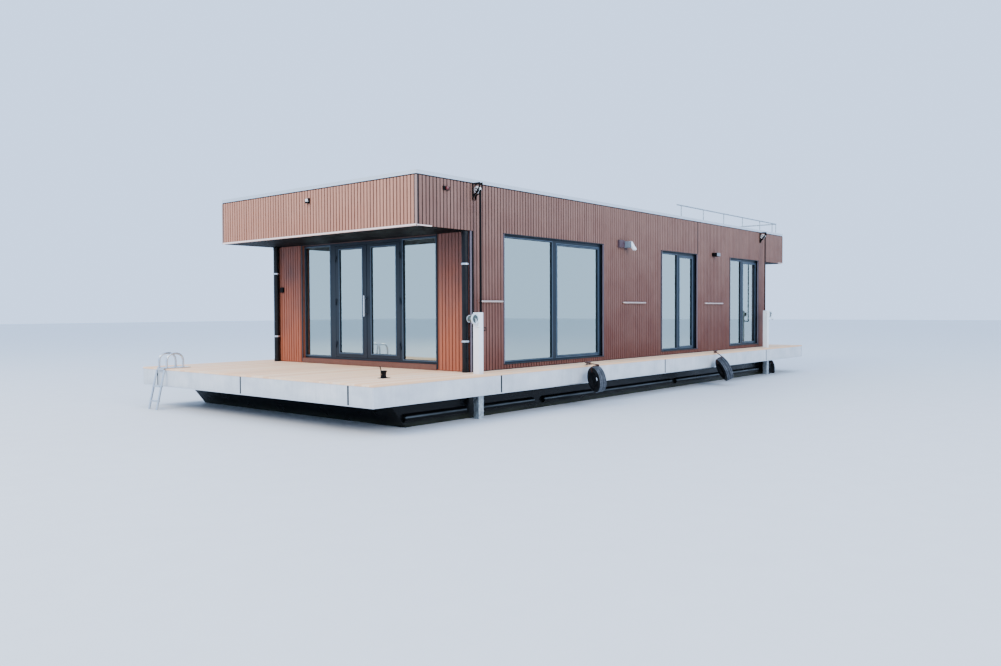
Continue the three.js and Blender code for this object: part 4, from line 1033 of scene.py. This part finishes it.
def fenders():
    """Three wheel fenders: two lean out from the deck's edge on lashings to their cleats, one lies flat against the
    hull's side at the stern."""
    tyre, tread = wheel_sections()
    for name, centre, axis, size, cleat_x in (
        ("front", (2.754, 3.262, 1.02), (0.879, -0.451, -0.153), 0.9, 2.56),
        ("middle", (-2.213, 3.262, 0.915), (0.64, -0.655, -0.402), 1.04, -2.43),
        ("stern", (-6.05, 2.696, 0.67), (0, 1, 0), 0.94, None),
    ):
        centre, axis = np.array(centre), np.array(axis) / np.linalg.norm(axis)
        wheel, band = (turned(section * size, centre, axis, 72, loop=True) for section in (tyre, tread))
        piece(f"wheel_fender_{name}", wheel, RUBBER, stands_for=[f"fender_wheel_{name}"])
        # The tread's grey is a painted sheen of the sky
        piece(f"wheel_tread_{name}", band, TREAD)
        up = Z - axis * axis[2]
        up /= np.linalg.norm(up)
        wrap = [centre + (r * up + w * axis) * size for r, w in LASHED]
        if cleat_x is None:
            rope = tube([centre + Z * 0.222, centre + Z * 0.4597], 0.011, Y, 10)
            piece("stern_fender_rope", joined(rope, tube(wrap, 0.009, X, 10)), ROPE)
            continue
        tied = centre + up * (TYRE["radius"] * size - 0.012) + (-0.02, 0.045, 0.026)
        path = np.array([tied + (0.0, 0.004, -0.012), tied + (0, 0, 0.012), (cleat_x + 0.075, 2.985, DECK + 0.036),
                         (cleat_x, 2.955, DECK + 0.05)])
        turns = [tube(bent(path + np.array([1, 0.4, 0]) * s, 0.02), 0.008, X, 10) for s in (-0.011, 0.011)]
        turns.append(tube(wrap, 0.008, np.cross(axis, up), 10))
        turns.append(turned([(0.004, -0.024), (0.017, -0.016), (0.021, 0.0), (0.017, 0.016), (0.004, 0.024)],
                            tied, Y, 16))
        piece(f"fender_lashing_{name}", joined(*turns), ROPE)
        piece(f"fender_cleat_{name}", cleat(cleat_x, 2.955), RUSTY_CLEAT)


# Bathing ladder

def ladder():
    """Two bent handrails on a foot plate, and the folding flight with ribbed treads."""
    # The fore legs of the hoops stand clear of the flight folded up beside them
    aft, fore, radius = 7.22, 7.515, 0.0175
    low, high = sides = -2.45, -2.2
    hoops = [tube(bent([(aft, y, DECK), (aft, y, 1.49), (fore, y, 1.49), (fore, y, DECK)], 0.147, 14), radius, Y, 18)
              for y in sides]
    hoops += [turned([(r, 0), (r, 0.006), (0.018, 0.012)], (x, y, DECK + 0.012), Z, 24)
               for x, r in ((aft, 0.032), (fore, 0.0185)) for y in sides]
    # Half a millimetre of running room to the flight's legs
    inner = low + radius + 0.0005, high - radius - 0.0005
    hoops += [bar(7.1, 7.535, low - 0.04, high + 0.04, DECK + 0.0004, DECK + 0.012),
               bar(7.52, 7.567, *inner, DECK + 0.0004, DECK + 0.012), bar(7.546, 7.564, *inner, 1.22, DECK + 0.006),
               rod((7.555, inner[0], 1.22), (7.555, inner[1], 1.22), 0.012, 20)]
    piece("ladder_rails", joined(*hoops), LADDER_STEEL, stands_for=["ladder_handrails"])
    top, toe = np.array([7.555, 0, 1.22]), np.array([7.745, 0, 0.38])
    flight = [tube([top + Y * y, toe + Y * y], radius, Y, 18) for y in sides]
    for t in (0.33, 0.62, 0.91):
        x, _, z = top + (toe - top) * t
        ridges = x + np.linspace(-0.026, 0.026, 7)
        flight += [bar(x - 0.033, x + 0.033, low, high, z - 0.009, z + 0.006, 0.003),
                   bar(ridges - 0.0022, ridges + 0.0022, low + 0.02, high - 0.02, z + 0.004, z + 0.0095, 0.001)]
    piece("ladder_flight", joined(*flight), LADDER_STEEL, body="ladder", stands_for=["swim_ladder"])


# Outboard

def outboard():
    """A drawn-in cowl over a mid leg, ventilation plate, gearcase and skeg, and a three-bladed screw."""
    x, shaft = -6.33, 0.225
    t = np.linspace(0, 1, 13)
    swell = np.sin(pi * (0.12 + 0.80 * t)) ** 0.42
    outline = rounded(0.42, 0.28, 0.11, 8)
    rings = [np.column_stack([outline * s + (x - 0.175 - 0.012 * h, 0), np.full(len(outline), 0.668 + 0.375 * h)])
             for s, h in zip(swell, t)]
    piece("outboard_cowl", loft(rings), COWL, body="outboard", sharp=50)

    leg = [(0.028, 0.016), (0.0, 0.03), (-0.06, 0.034), (-0.12, 0.022), (-0.15, 0.004)]
    core = [(-0.034, 0.03), (-0.12, 0.022), (-0.15, 0.004)]
    wing = [(0.02, 0.0), (0.0, 0.06), (-0.12, 0.1), (-0.28, 0.105), (-0.33, 0.07), (-0.33, 0.0)]
    fin = [(-0.06, 0.25), (-0.2, 0.25), (-0.2, 0.09), (-0.18, 0.07), (-0.12, 0.085)]
    bullet = [(0.002, 0.012), (0.018, 0.004), (0.034, -0.03), (0.044, -0.09), (0.044, -0.26), (0.038, -0.34)]
    leg, core = (np.vstack([half, np.array(half)[::-1] * (1, -1)]) for half in (leg, core))
    wing = np.vstack([wing, np.array(wing)[-2:0:-1] * (1, -1)])
    stem = [plate(leg, (x, 0, a), X, Y, b - a) for a, b in ((0.25, 0.494), (0.5165, 0.604), (0.6265, 0.68))]
    stem += [plate(core, (x, 0, 0.49), X, Y, 0.14), rod((x, 0, 0.47), (x, 0, 0.66), 0.015, 28),
             plate(wing, (x, 0, 0.372), X, Y, 0.01), turned(bullet, (x, 0, shaft), X, 32),
             plate(fin, (x, 0.007, 0), X, Z, 0.014)]
    piece("outboard_leg", joined(*stem), COWL, body="outboard", stands_for=["outboard_motor"])

    hub = turned([(0.036, 0.0), (0.036, -0.05), (0.03, -0.08), (0.002, -0.086)], (x - 0.3405, 0, shaft), X, 28)
    blades = []
    r = np.linspace(0.03, 0.142, 12)
    chord = 0.055 * np.sqrt(np.clip(1 - ((r - 0.085) / 0.06) ** 2, 0.03, 1))
    pitch = np.arctan2(0.2, 2 * pi * r)
    c, s = circle(14)
    for turn in (0, 2 * pi / 3, 4 * pi / 3):
        out = np.array([0, cos(turn), sin(turn)])
        along = np.cos(pitch)[:, None] * np.cross(X, out) + np.sin(pitch)[:, None] * X
        across = np.cross(out, along)
        blades.append(loft(np.array([x - 0.38, 0, shaft]) + (r[:, None] * out)[:, None]
                           + chord[:, None, None] * c * along[:, None] + 0.0035 * s * across[:, None]))
    piece("screw_blades", joined(hub, *blades), STAINLESS, body="screw", stands_for=["propeller"])


# Inside

def kitchen():
    """A carcass with five fronts under a worktop, and a bent tap with its lever."""
    (x0, y0, z0), (x1, y1, z1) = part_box("kitchen_unit")
    fronts = np.linspace(x0 + 0.003, x1 - 0.003, 6)
    carcass = bar(x0 + 0.004, x1 - 0.004, y0, y1 - 0.047, z0, z1 - 0.04)
    doors = bar(fronts[:-1] + 0.002, fronts[1:] - 0.002, y1 - 0.045, y1 - 0.025, z0 + 0.1, z1 - 0.045)
    piece("kitchen_cabinets", joined(carcass, doors), KITCHEN, stands_for=["kitchen_unit"])
    piece("kitchen_worktop", bar(x0, x1, y0, y1, z1 - 0.04, z1, 0.003), WORKTOP)
    x, y = x0 + 1.9, y0 + 0.09
    spout = bent([(x, y, z1), (x, y, z1 + 0.34), (x, y + 0.2, z1 + 0.34), (x, y + 0.2, z1 + 0.24)], 0.09, 10)
    base = turned([(0.026, 0), (0.026, 0.008), (0.016, 0.014)], (x, y, z1), Z, 24)
    lever = rod((x, y, z1 + 0.06), (x + 0.07, y, z1 + 0.08), 0.006)
    piece("kitchen_tap", joined(tube(spout, 0.012, X, 16), base, lever), STAINLESS)


def curtain(name, start, end, face, along, low, high):
    """A gathered curtain: its plan is a sine of folds that deepens downwards, hung from high z to 19 mm over low z."""
    span, drop = end - start, high - low - 0.019
    folds = max(3, round(abs(span) / 0.085))
    s = np.linspace(0, 1, folds * 12 + 1)[None]
    t = np.linspace(0, 1, 26)[:, None]
    across = face + 0.028 * (0.55 + 0.45 * t) * np.sin(2 * pi * folds * s + 0.5 * np.sin(3 * t))
    line = start + span * (s + 0.004 * np.sin(9 * t + 5 * s))
    height = high - drop * t + 0 * s
    grid = np.stack([line, across, height] if along == "X" else [across, line, height], -1)
    n, m = grid.shape[:2]
    i, j = np.arange(n - 1)[:, None], np.arange(m - 1)[None]
    quads = np.stack([i * m + j, i * m + j + 1, (i + 1) * m + j + 1, (i + 1) * m + j], -1).reshape(-1, 4)
    made = piece(name, (grid.reshape(-1, 3), [quads]), LINEN, sharp=80)


def curtains():
    """A ceiling rail over each opening with a drawn-back curtain at its ends."""
    floor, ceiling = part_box("cabin_floor")[1][2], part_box("ceiling")[0][2]
    tracks, hung = [], []
    for hand, way in HANDS.items():
        y = way * (SIDE - 0.22)
        for room in ROOMS:
            x0, x1, _, _ = window_hole(room, 0.0)
            tracks.append(bar(x0 - 0.1, x1 + 0.1, y - 0.012, y + 0.012, ceiling - 0.02, ceiling - 0.0005))
            hung.append((f"curtain_{room}_{hand}_aft", x0 - 0.02, x0 + 0.3, y, "X"))
            if room == "saloon":
                hung.append((f"curtain_{room}_{hand}_fore", x1 - 0.22, x1 + 0.02, y, "X"))
    x, y0, y1 = GLAZING_LOW[0] - 0.12, GLAZING_LOW[1], GLAZING_HIGH[1]
    tracks.append(bar(x - 0.012, x + 0.012, y0 - 0.1, y1 + 0.1, ceiling - 0.02, ceiling - 0.0005))
    hung.append(("curtain_front_starboard", y0 - 0.03, y0 + 0.3, x, "Y"))
    hung.append(("curtain_front_port", y1 - 0.3, y1 + 0.03, x, "Y"))
    piece("curtain_rails", joined(*tracks), INSIDE)
    for row in hung:
        curtain(*row, floor, ceiling - 0.021)


def studio():
    """A pale floor at the waterline, a large soft key from ahead, a fill from port and a pale sky."""
    half = 120.0
    mesh = bpy.data.meshes.new("studio_floor")
    corners = [(x * half, y * half, WATERLINE) for x, y in ((-1, -1), (1, -1), (1, 1), (-1, 1))]
    mesh.from_pydata(corners, [], [(0, 1, 2, 3)])
    mesh.materials.append(material("studio_floor", smooth_finish, 0xDFE2E5, 0xD9DCDF, 0.6, 0.0))
    floor = stand("studio_floor", mesh)
    for name, place, target, size, power, tint in (
        ("key", (26, -4, 20), (3, 0, 1.5), 16, 7500, (1.0, 0.92, 0.82)),
        ("fill", (6, 30, 14), (0, 0, 1.5), 18, 5000, (1.0, 0.96, 0.93)),
    ):
        light = bpy.data.lights.new(name, "AREA")
        light.shape, light.size, light.energy, light.color = "DISK", size, power, tint
        back = np.subtract(place, target) / np.linalg.norm(np.subtract(place, target))
        right = np.cross(Z, back)
        right /= np.linalg.norm(right)
        stand(name, light, np.column_stack([right, np.cross(back, right), back]), place)
    world = bpy.data.worlds.new("studio_sky")
    world.use_nodes = True
    backdrop = world.node_tree.nodes["Background"]
    backdrop.inputs["Color"].default_value = colour(0xBDD8FF)
    backdrop.inputs["Strength"].default_value = 2.2
    bpy.context.scene.world = world


for build in (cladding, cap_backing, corner_profiles, opening_trims, glazing_beads, soffits, deck, edge_panels,
              deck_fittings, roof, rails, grab_bars, lamps, floodlight, pipe_clamps, spud_fittings, winches, fenders,
              ladder, outboard, kitchen, curtains, studio):
    build()
